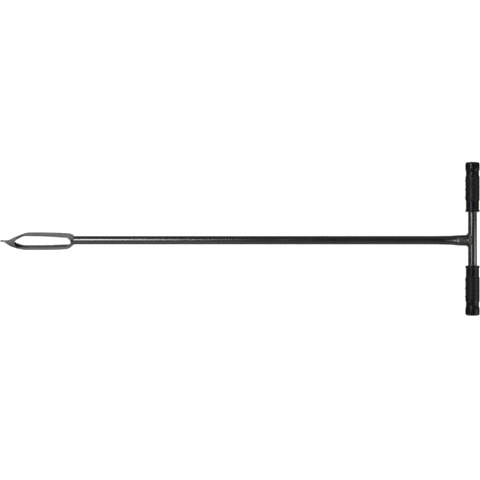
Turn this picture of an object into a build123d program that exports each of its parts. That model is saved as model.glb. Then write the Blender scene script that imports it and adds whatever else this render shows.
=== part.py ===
from build123d import *
import math
import os

os.makedirs("parts", exist_ok=True)

# ---------------------------------------------------------------- driving dimensions, mm
# The auger lies on the floor: shaft along X with the point at -X, handle bar along Y,
# Z up from the floor. "u" below is the distance from the tip of the point along +X.
TOTAL_LENGTH = 1250.0     # tip of the point to the far side of the grips
KNOB_R = 18.0             # largest radius of the grips, which they rest on
AXIS_Z = KNOB_R           # height of the shaft and bar axes above the floor
TIP_X = -TOTAL_LENGTH / 2
BAR_X = TOTAL_LENGTH / 2 - KNOB_R
SHAFT_Y = -3.4            # the shaft is welded a little off the middle of the bar

SHAFT_OD = 21.3           # half-inch pipe
SHAFT_WALL = 2.6
SHAFT_START_U = 198.3     # lower end of the tube, on the boss
FLAT_W = 27.3             # pressed end: width along the bar
FLAT_T = 10.8             # pressed end: thickness
PRESS_START_U = 1140.0    # where the tube starts to lose its round

BAR_OD = 22.2             # seven-eighths-inch tube
BAR_WALL = 2.0
BAR_HALF = 189.8          # half length of the bar inside the grips

GRIP_INNER = 69.0         # inner (flange) end of each grip from the middle
GRIP_LEN = 128.0
WAIST_R = 16.5
BODY_R = 17.7
SLEEVE_R = 16.6
FLANGE_R = 17.75
RIB_R = 17.3              # finger ridges are discs set off the grip's axis
RIB_SHIFT = 2.1
RIB_W = 3.2
RIB_AT = (48.6, 70.3, 91.8)   # from the outer end of the grip

BLADE_T = 3.0             # blade plate
BOSS_TOP_U = 186.8        # dome of the boss, facing the point
TANG_R = 8.0
TANG_LEN = 52.0


# ---------------------------------------------------------------- smooth curves through tables
def through(table):
    """Monotone cubic curve through (u, value) pairs, flat beyond both ends."""
    xs = [float(a) for a, _ in table]
    ys = [float(b) for _, b in table]
    n = len(xs)
    h = [xs[i + 1] - xs[i] for i in range(n - 1)]
    d = [(ys[i + 1] - ys[i]) / h[i] for i in range(n - 1)]
    m = [0.0] * n
    for i in range(1, n - 1):
        if d[i - 1] * d[i] > 0:
            w1 = 2 * h[i] + h[i - 1]
            w2 = h[i] + 2 * h[i - 1]
            m[i] = (w1 + w2) / (w1 / d[i - 1] + w2 / d[i])
    m[0], m[-1] = d[0], d[-1]

    def f(x):
        if x <= xs[0]:
            return ys[0]
        if x >= xs[-1]:
            return ys[-1]
        i = max(k for k in range(n - 1) if xs[k] <= x)
        t = (x - xs[i]) / h[i]
        return (
            (1 + 2 * t) * (1 - t) ** 2 * ys[i]
            + t * (1 - t) ** 2 * h[i] * m[i]
            + t * t * (3 - 2 * t) * ys[i + 1]
            + t * t * (t - 1) * h[i] * m[i + 1]
        )

    return f


# Bit: offset of the blade circle from the shaft axis (along Y) and its outer radius.
centre = through([
    (0, -1.9), (3.5, -1.95), (6.2, -2.15), (8.9, -2.6), (11.2, -3.25), (13.8, -4.25), (16.5, -5),
    (19.2, -5.7), (21.9, -6.3), (24.6, -6.65), (27.3, -6.8), (29.9, -6.72), (32.6, -6.58), (35.3, -6.35),
    (38, -6.05), (43.3, -5.62), (48.7, -5.15), (54.1, -4.52), (59.4, -3.9), (64.8, -3.32), (72.8, -2.82),
    (80.8, -2.68), (94.2, -2.64), (107.5, -2.64), (120.9, -2.7), (134.2, -2.75), (147.6, -2.7),
    (160.9, -2.6), (168.9, -2.56), (176.9, -2.53), (180, -2.35), (182.2, -2), (184.9, -1.6), (187.5, -1),
    (190.2, -0.35), (193, 0), (200, 0),
])
radius = through([
    (11.2, 2.45), (13.8, 3.4), (16.5, 4.4), (19.2, 5.65), (21.9, 6.95), (24.6, 8.05), (27.3, 9.25),
    (29.9, 10.45), (32.6, 11.6), (35.3, 12.75), (38, 13.8), (43.3, 15.5), (48.7, 17.15), (54.1, 18.95),
    (59.4, 20.4), (64.8, 21.75), (72.8, 22.7), (80.8, 22.85), (94.2, 22.88), (107.5, 22.85), (120.9, 22.7),
    (134.2, 22.52), (147.6, 22.15), (160.9, 21.63), (168.9, 21.3), (174, 21),
])
thick = through([
    (11.2, 0.4), (12.4, 0.75), (13.8, 1.2), (16.5, 1.7), (19.2, 2.15), (24.6, 2.7), (31, 3), (175, BLADE_T),
])
# Root of each blade, bending in to the boss.
root_out_left = through([
    (174, 21), (176.9, 20.75), (182.2, 19.84), (184.9, 18.97), (187.5, 17.9), (190.2, 16.93),
    (192.9, 14.55), (195.5, 12.05), (197, 11.1),
])
root_out_right = through([
    (174, 21), (176.9, 20.8), (182.2, 19.9), (184.9, 19.15), (187.5, 17.75), (190.2, 16.05), (192.9, 14.25),
    (195.5, 12.2), (197, 11.1),
])
root_in = through([
    (174, 18), (180.5, 17.1), (183.8, 15.4), (186.8, 12.4), (189, 9.1), (190.8, 6.3), (193, 5), (198, 5),
])
# Edges of the blades as angles about the blade circle's centre: 0 is +Y, 90 is +Z.
left_trail = through([
    (11.2, 0), (15, 8), (20, 21), (25, 37), (30, 53), (35, 67), (39.2, 75), (41.5, 68), (45, 54),
    (48.7, 39.5), (54.1, 31), (59.4, 30), (64.8, 37), (72.8, 42.8), (80.8, 44.1), (94.2, 45.3),
    (107.5, 46.3), (120.9, 47.2), (134.2, 49.2), (147.6, 51.4), (160.9, 54.2), (168.9, 56), (178.7, 59),
    (181.8, 61.5), (184, 67), (186.7, 79), (189, 86), (191.8, 87),
])
left_lead = through([
    (11.2, -145), (16, -133), (25, -108), (35, -76), (41, -59), (47, -52.5), (51, -47.5), (55, -45),
    (62, -45), (72, -46), (193, -46),
])
right_lead = through([
    (11.2, 2), (15, 10), (20, 23), (25, 39), (30, 55), (35, 69.5), (38.9, 79), (40.2, 92), (42.2, 118),
    (44.6, 140), (47, 145.5), (50, 142.5), (54.1, 139.4), (59.4, 137.1), (64.8, 136), (193, 136),
])
right_trail = through([
    (11.2, 213), (16, 225), (25, 250), (33, 276), (35, 280.5), (36.9, 275), (41.2, 260.5), (46.7, 250.5),
    (52.2, 242), (57.5, 237.7), (63, 235.7), (72.8, 235.2), (80.8, 235.4), (94.2, 235.5), (107.5, 235.6),
    (120.9, 236.3), (134.2, 236.9), (147.6, 238.2), (160.9, 238.2), (182.5, 238.5), (186, 240.5),
    (188.4, 249), (190.4, 258), (192.4, 262),
])
pitch = through([(11.2, 0.15), (20, 0.4), (40, 0.8), (60, 1.2), (170, 1.2), (182, 0)])
BLADE_START_U = 11.2
BLADE_END_U = 196.4
STATIONS = [BLADE_START_U + i * (BLADE_END_U - BLADE_START_U) / 60 for i in range(61)]


def section_plane(u, dy=0.0):
    """Plane square to the shaft at distance u from the tip: local x is +Y, local y is +Z."""
    return Plane(origin=(TIP_X + u, SHAFT_Y + dy, AXIS_Z), x_dir=(0, 1, 0), z_dir=(1, 0, 0))


def polar(r, degrees):
    return (r * math.cos(math.radians(degrees)), r * math.sin(math.radians(degrees)))


def blade_section(u, lead, trail, root_out):
    """Corners of a blade's cross-section: the leading edge stands a little proud of the
    trailing edge and is ground back on the inside."""
    a0, a1 = trail(u), lead(u)
    if u <= 174:
        r_out = radius(u)
        r_in = r_out - thick(u)
    else:
        r_out, r_in = root_out(u), root_in(u)
    p = pitch(u)
    t = r_out - r_in
    bevel = math.copysign(math.degrees(min(1.6, 0.6 * t) / r_out), a1 - a0)
    mid = (a0 + a1) / 2
    mid_in = (a0 + a1 - bevel) / 2
    return (
        [polar(r_out - p, a0), polar(r_out, mid), polar(r_out + p, a1)],
        [polar(r_in + p, a1 - bevel), polar(r_in, mid_in), polar(r_in - p, a0)],
    )


# ---------------------------------------------------------------- boss and tang of the bit
with BuildPart() as bit_boss:
    boss_axis = Axis((TIP_X, SHAFT_Y, AXIS_Z), (1, 0, 0))
    with BuildSketch(Plane(origin=(TIP_X, SHAFT_Y, AXIS_Z), x_dir=(1, 0, 0), z_dir=(0, 0, 1))):
        with BuildLine():
            Spline(
                (BOSS_TOP_U, 0), (188.0, 4.9), (190.6, 7.7), (194.0, 9.5), (197.2, 10.4),
                tangents=[(0, 1), (1, 0.22)],
            )
            Line((197.2, 10.4), (SHAFT_START_U, SHAFT_OD / 2))
            Line((SHAFT_START_U, SHAFT_OD / 2), (SHAFT_START_U, TANG_R))
            Line((SHAFT_START_U, TANG_R), (SHAFT_START_U + TANG_LEN - 2, TANG_R))
            Line((SHAFT_START_U + TANG_LEN - 2, TANG_R), (SHAFT_START_U + TANG_LEN, TANG_R - 2))
            Line((SHAFT_START_U + TANG_LEN, TANG_R - 2), (SHAFT_START_U + TANG_LEN, 0))
            Line((SHAFT_START_U + TANG_LEN, 0), (BOSS_TOP_U, 0))
        make_face()
    revolve(axis=boss_axis)
bit_boss.part.label = "bit_boss"
export_step(bit_boss.part, "parts/bit_boss.step")

# ---------------------------------------------------------------- the two blades
with BuildPart() as left_blade:
    for u in STATIONS:
        outer, inner = blade_section(u, left_lead, left_trail, root_out_left)
        with BuildSketch(section_plane(u, centre(u))):
            with BuildLine():
                ThreePointArc(*outer)
                Line(outer[2], inner[0])
                ThreePointArc(*inner)
                Line(inner[2], outer[0])
            make_face()
    loft()
    add(bit_boss.part, mode=Mode.SUBTRACT)
left_blade.part.label = "left_blade"
export_step(left_blade.part, "parts/left_blade.step")

with BuildPart() as right_blade:
    for u in STATIONS:
        outer, inner = blade_section(u, right_lead, right_trail, root_out_right)
        with BuildSketch(section_plane(u, centre(u))):
            with BuildLine():
                ThreePointArc(*outer)
                Line(outer[2], inner[0])
                ThreePointArc(*inner)
                Line(inner[2], outer[0])
            make_face()
    loft()
    add(bit_boss.part, mode=Mode.SUBTRACT)
right_blade.part.label = "right_blade"
export_step(right_blade.part, "parts/right_blade.step")

# ---------------------------------------------------------------- spike at the tip
# A flattened spike outside, a tapering core inside the closed end of the blades.
spike_half_y = through([
    (0, 1.4), (1.5, 1.85), (4, 1.95), (8.6, 1.95), (10, 1.9), (11, 1.82), (12.4, 1.82), (13.8, 1.85),
    (16.5, 2.22), (19.2, 2.95), (21.9, 3.9), (24, 4.5),
])
spike_half_z = through([
    (0, 1.4), (1.5, 1.95), (4, 2.1), (6.2, 2.1), (8.6, 2), (10, 1.9), (11, 1.82), (12.4, 1.82),
    (13.8, 1.85), (16.5, 2.22), (19.2, 2.95), (21.9, 3.9), (24, 4.5),
])
SPIKE_STATIONS = [i * 0.8 for i in range(31)]
with BuildPart() as pilot_point:
    for u in SPIKE_STATIONS:
        with BuildSketch(section_plane(u, centre(u))):
            Ellipse(spike_half_y(u), spike_half_z(u))
    loft()
pilot_point.part.label = "pilot_point"
export_step(pilot_point.part, "parts/pilot_point.step")

# ---------------------------------------------------------------- seam beads that close the point
with BuildPart() as near_seam:
    for i in range(19):
        u = 14.0 + i * 1.33
        y, z = polar(radius(u) - 0.1, right_lead(u) - 3.0)
        with BuildSketch(section_plane(u, centre(u))):
            with Locations((y, z)):
                Circle(0.45 + 0.7 * math.sin(math.pi * (i + 1) / 20))
    loft()
with BuildPart() as far_seam:
    for i in range(19):
        u = 14.0 + i * 1.15
        y, z = polar(radius(u) - 0.1, right_trail(u) - 1.0)
        with BuildSketch(section_plane(u, centre(u))):
            with Locations((y, z)):
                Circle(0.45 + 0.7 * math.sin(math.pi * (i + 1) / 20))
    loft()
with BuildPart() as point_weld:
    add(near_seam.part)
    add(far_seam.part)
    add(left_blade.part, mode=Mode.SUBTRACT)
    add(right_blade.part, mode=Mode.SUBTRACT)
    add(pilot_point.part, mode=Mode.SUBTRACT)
point_weld.part.label = "point_weld"
export_step(point_weld.part, "parts/point_weld.step")

# ---------------------------------------------------------------- shaft tube, pressed flat at the top
PERIMETER = math.pi * SHAFT_OD
press_thick = through([
    (PRESS_START_U, SHAFT_OD), (1150, 20.6), (1163, 19.7), (1176, 18.6), (1186, 16), (1192, 14.4),
    (1197, 13.2), (1202, 12.1), (1207, 11.5), (1212, 10.9), (1214, FLAT_T),
])
# the press has pushed the end a little off the tube's axis, along the bar
FLAT_DY = -0.45
press_shift = through([
    (PRESS_START_U, 0), (1150, -0.04), (1165, -0.2), (1180, -0.38), (1190, FLAT_DY + 0.01), (1214, FLAT_DY),
])


def press_width(t):
    """Width of the pressed section for a thickness t, the wall keeping its length."""
    return FLAT_W - (t - FLAT_T) * (FLAT_W - SHAFT_OD) / (SHAFT_OD - FLAT_T)


PRESS_END_U = 1214.0
PRESS_STATIONS = [PRESS_START_U + i * (PRESS_END_U - PRESS_START_U) / 24 for i in range(25)]


def pressed(t, inset):
    """Closed outline of the tube at thickness t: top and bottom arcs that go flat, and two round sides."""
    k = (SHAFT_OD - t) / (SHAFT_OD - FLAT_T)
    w = press_width(t) / 2 - inset
    h = t / 2 - inset
    r0 = SHAFT_OD / 2 - inset
    a = (1 - k) * r0 * math.sin(math.radians(30)) + k * (FLAT_W - FLAT_T) / 2
    sag = (1 - k) * r0 * (1 - math.cos(math.radians(30))) + k * 0.03
    return [
        ((a, h - sag), (0, h), (-a, h - sag)),
        ((-a, h - sag), (-w, 0), (-a, -h + sag)),
        ((-a, -h + sag), (0, -h), (a, -h + sag)),
        ((a, -h + sag), (w, 0), (a, h - sag)),
    ]


with BuildPart() as shaft_tube:
    with BuildSketch(section_plane(SHAFT_START_U)):
        with BuildLine():
            for arc in pressed(SHAFT_OD, 0.0):
                ThreePointArc(*arc)
        make_face()
    extrude(amount=PRESS_START_U - SHAFT_START_U)
    for u in PRESS_STATIONS:
        with BuildSketch(section_plane(u, press_shift(u))):
            with BuildLine():
                for arc in pressed(press_thick(u), 0.0):
                    ThreePointArc(*arc)
            make_face()
    loft()
    with BuildSketch(section_plane(PRESS_END_U, FLAT_DY)):
        with BuildLine():
            for arc in pressed(FLAT_T, 0.0):
                ThreePointArc(*arc)
        make_face()
    extrude(amount=BAR_X - TIP_X - PRESS_END_U)
    with BuildSketch(section_plane(SHAFT_START_U)):
        with BuildLine():
            for arc in pressed(SHAFT_OD, SHAFT_WALL):
                ThreePointArc(*arc)
        make_face()
    extrude(amount=PRESS_START_U - SHAFT_START_U, mode=Mode.SUBTRACT)
    for u in PRESS_STATIONS:
        with BuildSketch(section_plane(u, press_shift(u))):
            with BuildLine():
                for arc in pressed(press_thick(u), SHAFT_WALL):
                    ThreePointArc(*arc)
            make_face()
    loft(mode=Mode.SUBTRACT)
    with BuildSketch(section_plane(PRESS_END_U, FLAT_DY)):
        with BuildLine():
            for arc in pressed(FLAT_T, SHAFT_WALL):
                ThreePointArc(*arc)
        make_face()
    extrude(amount=BAR_X - TIP_X - PRESS_END_U, mode=Mode.SUBTRACT)
    # end coped to the bar
    with BuildSketch(Plane(origin=(BAR_X, -60, AXIS_Z), x_dir=(1, 0, 0), z_dir=(0, 1, 0))):
        Circle(BAR_OD / 2)
    extrude(amount=120, mode=Mode.SUBTRACT)
shaft_tube.part.label = "shaft_tube"
export_step(shaft_tube.part, "parts/shaft_tube.step")

# ---------------------------------------------------------------- handle bar
with BuildPart() as crossbar_tube:
    with BuildSketch(Plane(origin=(BAR_X, -BAR_HALF, AXIS_Z), x_dir=(1, 0, 0), z_dir=(0, 1, 0))):
        Circle(BAR_OD / 2)
        Circle(BAR_OD / 2 - BAR_WALL, mode=Mode.SUBTRACT)
    extrude(amount=2 * BAR_HALF)
    chamfer(crossbar_tube.edges().filter_by(GeomType.CIRCLE).filter_by(lambda e: e.radius > BAR_OD / 2 - 0.1), 0.5)
crossbar_tube.part.label = "crossbar_tube"
export_step(crossbar_tube.part, "parts/crossbar_tube.step")

# ---------------------------------------------------------------- bead round the pressed end, on the bar
# (distance before the bar's axis, leg toward +Y, leg toward -Y, rise above the flat)
BEAD = [
    (15.9, 0.15, 0.15, 0.15), (15.2, 1.1, 0.7, 0.5), (13.0, 4.3, 1.9, 1.5), (11.1, 6.3, 4.2, 2.4),
    (8.0, 7.1, 5.0, 3.4), (6.0, 7.3, 5.3, 4.6), (4.0, 7.0, 5.1, 5.45), (2.4, 6.2, 4.4, 5.8), (1.3, 5.2, 3.4, 5.75),
    (0.6, 4.4, 2.6, 5.58),
]
with BuildPart() as handle_weld:
    for back, left, right, rise in BEAD:
        with BuildSketch(section_plane(BAR_X - TIP_X - back, FLAT_DY + (left - right) / 2)):
            SlotOverall(FLAT_W + left + right, FLAT_T + 2 * rise)
    loft()
    with BuildSketch(section_plane(PRESS_END_U, FLAT_DY)):
        with BuildLine():
            for arc in pressed(FLAT_T, 0.0):
                ThreePointArc(*arc)
        make_face()
    extrude(amount=BAR_X - TIP_X - PRESS_END_U, mode=Mode.SUBTRACT)
    with BuildSketch(Plane(origin=(BAR_X, -60, AXIS_Z), x_dir=(1, 0, 0), z_dir=(0, 1, 0))):
        Circle(BAR_OD / 2)
    extrude(amount=120, mode=Mode.SUBTRACT)
handle_weld.part.label = "handle_weld"
export_step(handle_weld.part, "parts/handle_weld.step")

# ---------------------------------------------------------------- ring bead at the bottom of the tube
with BuildPart() as shaft_weld:
    with BuildSketch(Plane(origin=(TIP_X, SHAFT_Y, AXIS_Z), x_dir=(1, 0, 0), z_dir=(0, 0, 1))):
        with BuildLine():
            Spline((196.5, 9.6), (196.5, 10.5), (197.2, 10.85), (198.1, 10.95), (199.0, 10.82), (199.6, SHAFT_OD / 2))
            Line((199.6, SHAFT_OD / 2), (SHAFT_START_U, SHAFT_OD / 2))
            Line((SHAFT_START_U, SHAFT_OD / 2), (196.5, 9.6))
        make_face()
    revolve(axis=boss_axis)
    add(bit_boss.part, mode=Mode.SUBTRACT)
    add(left_blade.part, mode=Mode.SUBTRACT)
    add(right_blade.part, mode=Mode.SUBTRACT)
shaft_weld.part.label = "shaft_weld"
export_step(shaft_weld.part, "parts/shaft_weld.step")

# ---------------------------------------------------------------- beads along the blade roots
boss_r = through([(186.8, 0), (188, 4.9), (190.6, 7.7), (194, 9.5), (197.2, 10.4)])


def root_bead(angle):
    """Bead on the boss beside the edge of a blade root, as a lofted rope."""
    with BuildPart() as rope:
        for i in range(9):
            u = 190.4 + i * 0.75
            y, z = polar(boss_r(u) + 0.35, angle(u))
            with BuildSketch(section_plane(u)):
                with Locations((y, z)):
                    Circle(0.7 + 0.6 * math.sin(math.pi * (i + 1) / 10))
        loft()
    return rope.part


left_near = root_bead(lambda u: left_trail(u) + 5.0)
left_far = root_bead(lambda u: left_lead(u) - 5.0)
right_near = root_bead(lambda u: right_lead(u) - 5.0)
right_far = root_bead(lambda u: right_trail(u) + 5.0)
with BuildPart() as left_root_weld:
    add(left_near)
    add(left_far)
    add(bit_boss.part, mode=Mode.SUBTRACT)
    add(left_blade.part, mode=Mode.SUBTRACT)
    add(shaft_weld.part, mode=Mode.SUBTRACT)
left_root_weld.part.label = "left_root_weld"
export_step(left_root_weld.part, "parts/left_root_weld.step")
with BuildPart() as right_root_weld:
    add(right_near)
    add(right_far)
    add(bit_boss.part, mode=Mode.SUBTRACT)
    add(right_blade.part, mode=Mode.SUBTRACT)
    add(shaft_weld.part, mode=Mode.SUBTRACT)
right_root_weld.part.label = "right_root_weld"
export_step(right_root_weld.part, "parts/right_root_weld.step")

# ---------------------------------------------------------------- grips
# Profile of the moulding from its closed outer end: (distance from the outer end, radius).
GRIP_PROFILE = [
    (0.0, 0.0), (0.25, 9.2), (0.9, 14.5), (2.2, 16.8), (4.4, KNOB_R - 0.25), (8.0, KNOB_R), (16.0, KNOB_R),
    (19.5, KNOB_R - 0.25), (22.0, 17.05), (24.5, WAIST_R + 0.05), (27.0, WAIST_R), (33.0, WAIST_R),
    (35.2, WAIST_R + 0.15), (37.2, BODY_R - 0.3), (39.2, BODY_R),
]
with BuildPart() as left_grip:
    grip_axis = Axis((BAR_X, GRIP_INNER + GRIP_LEN, AXIS_Z), (0, -1, 0))
    grip_plane = Plane(
        origin=(BAR_X, GRIP_INNER + GRIP_LEN, AXIS_Z), x_dir=(0, -1, 0), z_dir=(0, 0, 1)
    )  # local x runs in from the outer end, local y is a radius
    with BuildSketch(grip_plane):
        with BuildLine():
            Spline(*GRIP_PROFILE, tangents=[(0, 1), (1, 0)])
            Polyline(
                (39.2, BODY_R), (98.6, BODY_R), (99.6, SLEEVE_R - 0.35), (100.8, SLEEVE_R - 0.35),
                (101.2, SLEEVE_R), (121.6, SLEEVE_R), (122.8, FLANGE_R - 0.4), (123.4, FLANGE_R), (127.3, FLANGE_R),
                (GRIP_LEN, FLANGE_R - 0.7), (GRIP_LEN, 0), (0, 0),
            )
        make_face()
    revolve(axis=grip_axis)
    rib_axis = Axis((BAR_X - RIB_SHIFT, GRIP_INNER + GRIP_LEN, AXIS_Z), (0, -1, 0))
    with BuildSketch(
        Plane(origin=(BAR_X - RIB_SHIFT, GRIP_INNER + GRIP_LEN, AXIS_Z), x_dir=(0, -1, 0), z_dir=(0, 0, 1))
    ):
        for at in RIB_AT:
            with BuildLine():
                Polyline(
                    (at - RIB_W / 2, 0), (at - RIB_W / 2, RIB_R - 0.9), (at - 0.55, RIB_R - 0.1), (at, RIB_R),
                    (at + 0.55, RIB_R - 0.1), (at + RIB_W / 2, RIB_R - 0.9), (at + RIB_W / 2, 0), close=True,
                )
            make_face()
    revolve(axis=rib_axis)
    with BuildSketch(
        Plane(origin=(BAR_X, GRIP_INNER - 1, AXIS_Z), x_dir=(1, 0, 0), z_dir=(0, 1, 0))
    ):
        Circle(BAR_OD / 2)
    extrude(amount=BAR_HALF - GRIP_INNER + 1, mode=Mode.SUBTRACT)
left_grip.part.label = "left_grip"
export_step(left_grip.part, "parts/left_grip.step")

with BuildPart() as right_grip:
    mirror(left_grip.part, about=Plane.XZ)
right_grip.part.label = "right_grip"
export_step(right_grip.part, "parts/right_grip.step")

for b in (
    shaft_tube, crossbar_tube, left_grip, right_grip, handle_weld, bit_boss, left_blade, right_blade, pilot_point,
    point_weld, shaft_weld, left_root_weld, right_root_weld,
):
    print(b.part.label, round(b.part.volume, 1), b.part.is_valid, len(b.part.solids()), b.part.bounding_box().size)
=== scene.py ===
"""Looks of the hand earth auger: dense meshes for every piece, materials, floor, light and camera."""

import math

import bmesh
import bpy
import numpy as np
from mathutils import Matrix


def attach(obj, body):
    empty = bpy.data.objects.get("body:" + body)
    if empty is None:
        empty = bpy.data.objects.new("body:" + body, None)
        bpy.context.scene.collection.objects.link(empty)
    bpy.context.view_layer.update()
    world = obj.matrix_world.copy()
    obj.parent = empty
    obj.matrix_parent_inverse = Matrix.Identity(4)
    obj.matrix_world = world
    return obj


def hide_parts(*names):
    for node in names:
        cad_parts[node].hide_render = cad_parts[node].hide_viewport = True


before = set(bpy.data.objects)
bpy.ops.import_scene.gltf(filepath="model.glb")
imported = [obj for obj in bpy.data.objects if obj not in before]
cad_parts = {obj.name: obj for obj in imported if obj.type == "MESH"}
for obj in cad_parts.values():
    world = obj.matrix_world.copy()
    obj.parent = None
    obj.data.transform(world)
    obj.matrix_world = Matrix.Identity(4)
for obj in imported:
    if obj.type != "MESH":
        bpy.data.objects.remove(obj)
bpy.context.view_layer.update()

# ---------------------------------------------------------------- sizes of the part, mm
# "u" is the distance from the tip of the point along +X, as in the part's own source.
TIP_X = -625.0
AXIS_Z = 18.0
KNOB_R = 18.0
BAR_X = 607.0
BAR_U = BAR_X - TIP_X
SHAFT_Y = -3.4
SHAFT_OD = 21.3
SHAFT_WALL = 2.6
SHAFT_START_U = 198.3
FLAT_T = 10.8
PRESS_START_U = 1140.0
PRESS_END_U = 1214.0
FLAT_DY = -0.45
BAR_R = 11.1
BAR_WALL = 2.0
BAR_HALF = 189.8
GRIP_INNER = 69.0
GRIP_LEN = 128.0
GRIP_END = GRIP_INNER + GRIP_LEN
WAIST_R = 16.5
BODY_R = 17.7
SLEEVE_R = 16.6
FLANGE_R = 17.75
RIB_R = 17.3
RIB_SHIFT = 2.1
RIB_W = 3.2
RIB_AT = (48.6, 70.3, 91.8)
BLADE_START_U = 11.2
BLADE_END_U = 196.4
TANG_R = 8.0
TANG_LEN = 52.0


def through(table):
    """Monotone cubic curve through (u, value) pairs, flat beyond both ends."""
    xs = np.array([a for a, _ in table], float)
    ys = np.array([b for _, b in table], float)
    h = np.diff(xs)
    d = np.diff(ys) / h
    m = np.zeros_like(ys)
    for i in range(1, len(xs) - 1):
        if d[i - 1] * d[i] > 0:
            w1 = 2 * h[i] + h[i - 1]
            w2 = h[i] + 2 * h[i - 1]
            m[i] = (w1 + w2) / (w1 / d[i - 1] + w2 / d[i])
    m[0], m[-1] = d[0], d[-1]

    def f(x):
        x = np.clip(np.asarray(x, float), xs[0], xs[-1])
        i = np.clip(np.searchsorted(xs, x, side="right") - 1, 0, len(xs) - 2)
        t = (x - xs[i]) / h[i]
        return (
            (1 + 2 * t) * (1 - t) ** 2 * ys[i]
            + t * (1 - t) ** 2 * h[i] * m[i]
            + t * t * (3 - 2 * t) * ys[i + 1]
            + t * t * (t - 1) * h[i] * m[i + 1]
        )

    return f


# Bit: offset of the blade circle from the shaft axis (along Y), outer radius, plate thickness.
centre = through([
    (0, -1.9), (3.5, -1.95), (6.2, -2.15), (8.9, -2.6), (11.2, -3.25), (13.8, -4.25), (16.5, -5),
    (19.2, -5.7), (21.9, -6.3), (24.6, -6.65), (27.3, -6.8), (29.9, -6.72), (32.6, -6.58), (35.3, -6.35),
    (38, -6.05), (43.3, -5.62), (48.7, -5.15), (54.1, -4.52), (59.4, -3.9), (64.8, -3.32), (72.8, -2.82),
    (80.8, -2.68), (94.2, -2.64), (107.5, -2.64), (120.9, -2.7), (134.2, -2.75), (147.6, -2.7),
    (160.9, -2.6), (168.9, -2.56), (176.9, -2.53), (180, -2.35), (182.2, -2), (184.9, -1.6), (187.5, -1),
    (190.2, -0.35), (193, 0), (200, 0),
])
radius = through([
    (11.2, 2.45), (13.8, 3.4), (16.5, 4.4), (19.2, 5.65), (21.9, 6.95), (24.6, 8.05), (27.3, 9.25),
    (29.9, 10.45), (32.6, 11.6), (35.3, 12.75), (38, 13.8), (43.3, 15.5), (48.7, 17.15), (54.1, 18.95),
    (59.4, 20.4), (64.8, 21.75), (72.8, 22.7), (80.8, 22.85), (94.2, 22.88), (107.5, 22.85), (120.9, 22.7),
    (134.2, 22.52), (147.6, 22.15), (160.9, 21.63), (168.9, 21.3), (174, 21),
])
thick = through([(11.2, 0.4), (12.4, 0.75), (13.8, 1.2), (16.5, 1.7), (19.2, 2.15), (24.6, 2.7), (31, 3), (175, 3)])
root_out_left = through([
    (174, 21), (176.9, 20.75), (182.2, 19.84), (184.9, 18.97), (187.5, 17.9), (190.2, 16.93),
    (192.9, 14.55), (195.5, 12.05), (197, 11.1),
])
root_out_right = through([
    (174, 21), (176.9, 20.8), (182.2, 19.9), (184.9, 19.15), (187.5, 17.75), (190.2, 16.05), (192.9, 14.25),
    (195.5, 12.2), (197, 11.1),
])
root_in = through([
    (174, 18), (180.5, 17.1), (183.8, 15.4), (186.8, 12.4), (189, 9.1), (190.8, 6.3), (193, 5), (198, 5),
])
# Edges of the blades as angles about the blade circle's centre: 0 is +Y, 90 is +Z.
left_trail = through([
    (11.2, 0), (15, 8), (20, 21), (25, 37), (30, 53), (35, 67), (39.2, 75), (41.5, 68), (45, 54),
    (48.7, 39.5), (54.1, 31), (59.4, 30), (64.8, 37), (72.8, 42.8), (80.8, 44.1), (94.2, 45.3),
    (107.5, 46.3), (120.9, 47.2), (134.2, 49.2), (147.6, 51.4), (160.9, 54.2), (168.9, 56), (178.7, 59),
    (181.8, 61.5), (184, 67), (186.7, 79), (189, 86), (191.8, 87),
])
left_lead = through([
    (11.2, -145), (16, -133), (25, -108), (35, -76), (41, -59), (47, -52.5), (51, -47.5), (55, -45),
    (62, -45), (72, -46), (193, -46),
])
right_lead = through([
    (11.2, 2), (15, 10), (20, 23), (25, 39), (30, 55), (35, 69.5), (38.9, 79), (40.2, 92), (42.2, 118),
    (44.6, 140), (47, 145.5), (50, 142.5), (54.1, 139.4), (59.4, 137.1), (64.8, 136), (193, 136),
])
right_trail = through([
    (11.2, 213), (16, 225), (25, 250), (33, 276), (35, 280.5), (36.9, 275), (41.2, 260.5), (46.7, 250.5),
    (52.2, 242), (57.5, 237.7), (63, 235.7), (72.8, 235.2), (80.8, 235.4), (94.2, 235.5), (107.5, 235.6),
    (120.9, 236.3), (134.2, 236.9), (147.6, 238.2), (160.9, 238.2), (182.5, 238.5), (186, 240.5),
    (188.4, 249), (190.4, 258), (192.4, 262),
])
pitch = through([(11.2, 0.15), (20, 0.4), (40, 0.8), (60, 1.2), (170, 1.2), (182, 0)])
boss_r = through([(186.8, 0), (187.2, 2.6), (188, 4.9), (190.6, 7.7), (194, 9.5), (197.2, 10.4), (198.3, 10.65)])
press_thick = through([
    (PRESS_START_U, SHAFT_OD), (1150, 20.6), (1163, 19.7), (1176, 18.6), (1186, 16), (1192, 14.4),
    (1197, 13.2), (1202, 12.1), (1207, 11.5), (1212, 10.9), (1214, FLAT_T),
])
press_shift = through([
    (PRESS_START_U, 0), (1150, -0.04), (1165, -0.2), (1180, -0.38), (1190, FLAT_DY + 0.01), (1214, FLAT_DY),
])


# ---------------------------------------------------------------- mesh helpers
def smooth(x, lo, hi):
    """0 below lo, 1 above hi, smooth between."""
    t = np.clip((np.asarray(x, float) - lo) / (hi - lo), 0.0, 1.0)
    return t * t * (3 - 2 * t)


def bell(x, at, width):
    return np.exp(-(((np.asarray(x, float) - at) / width) ** 2))


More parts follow.
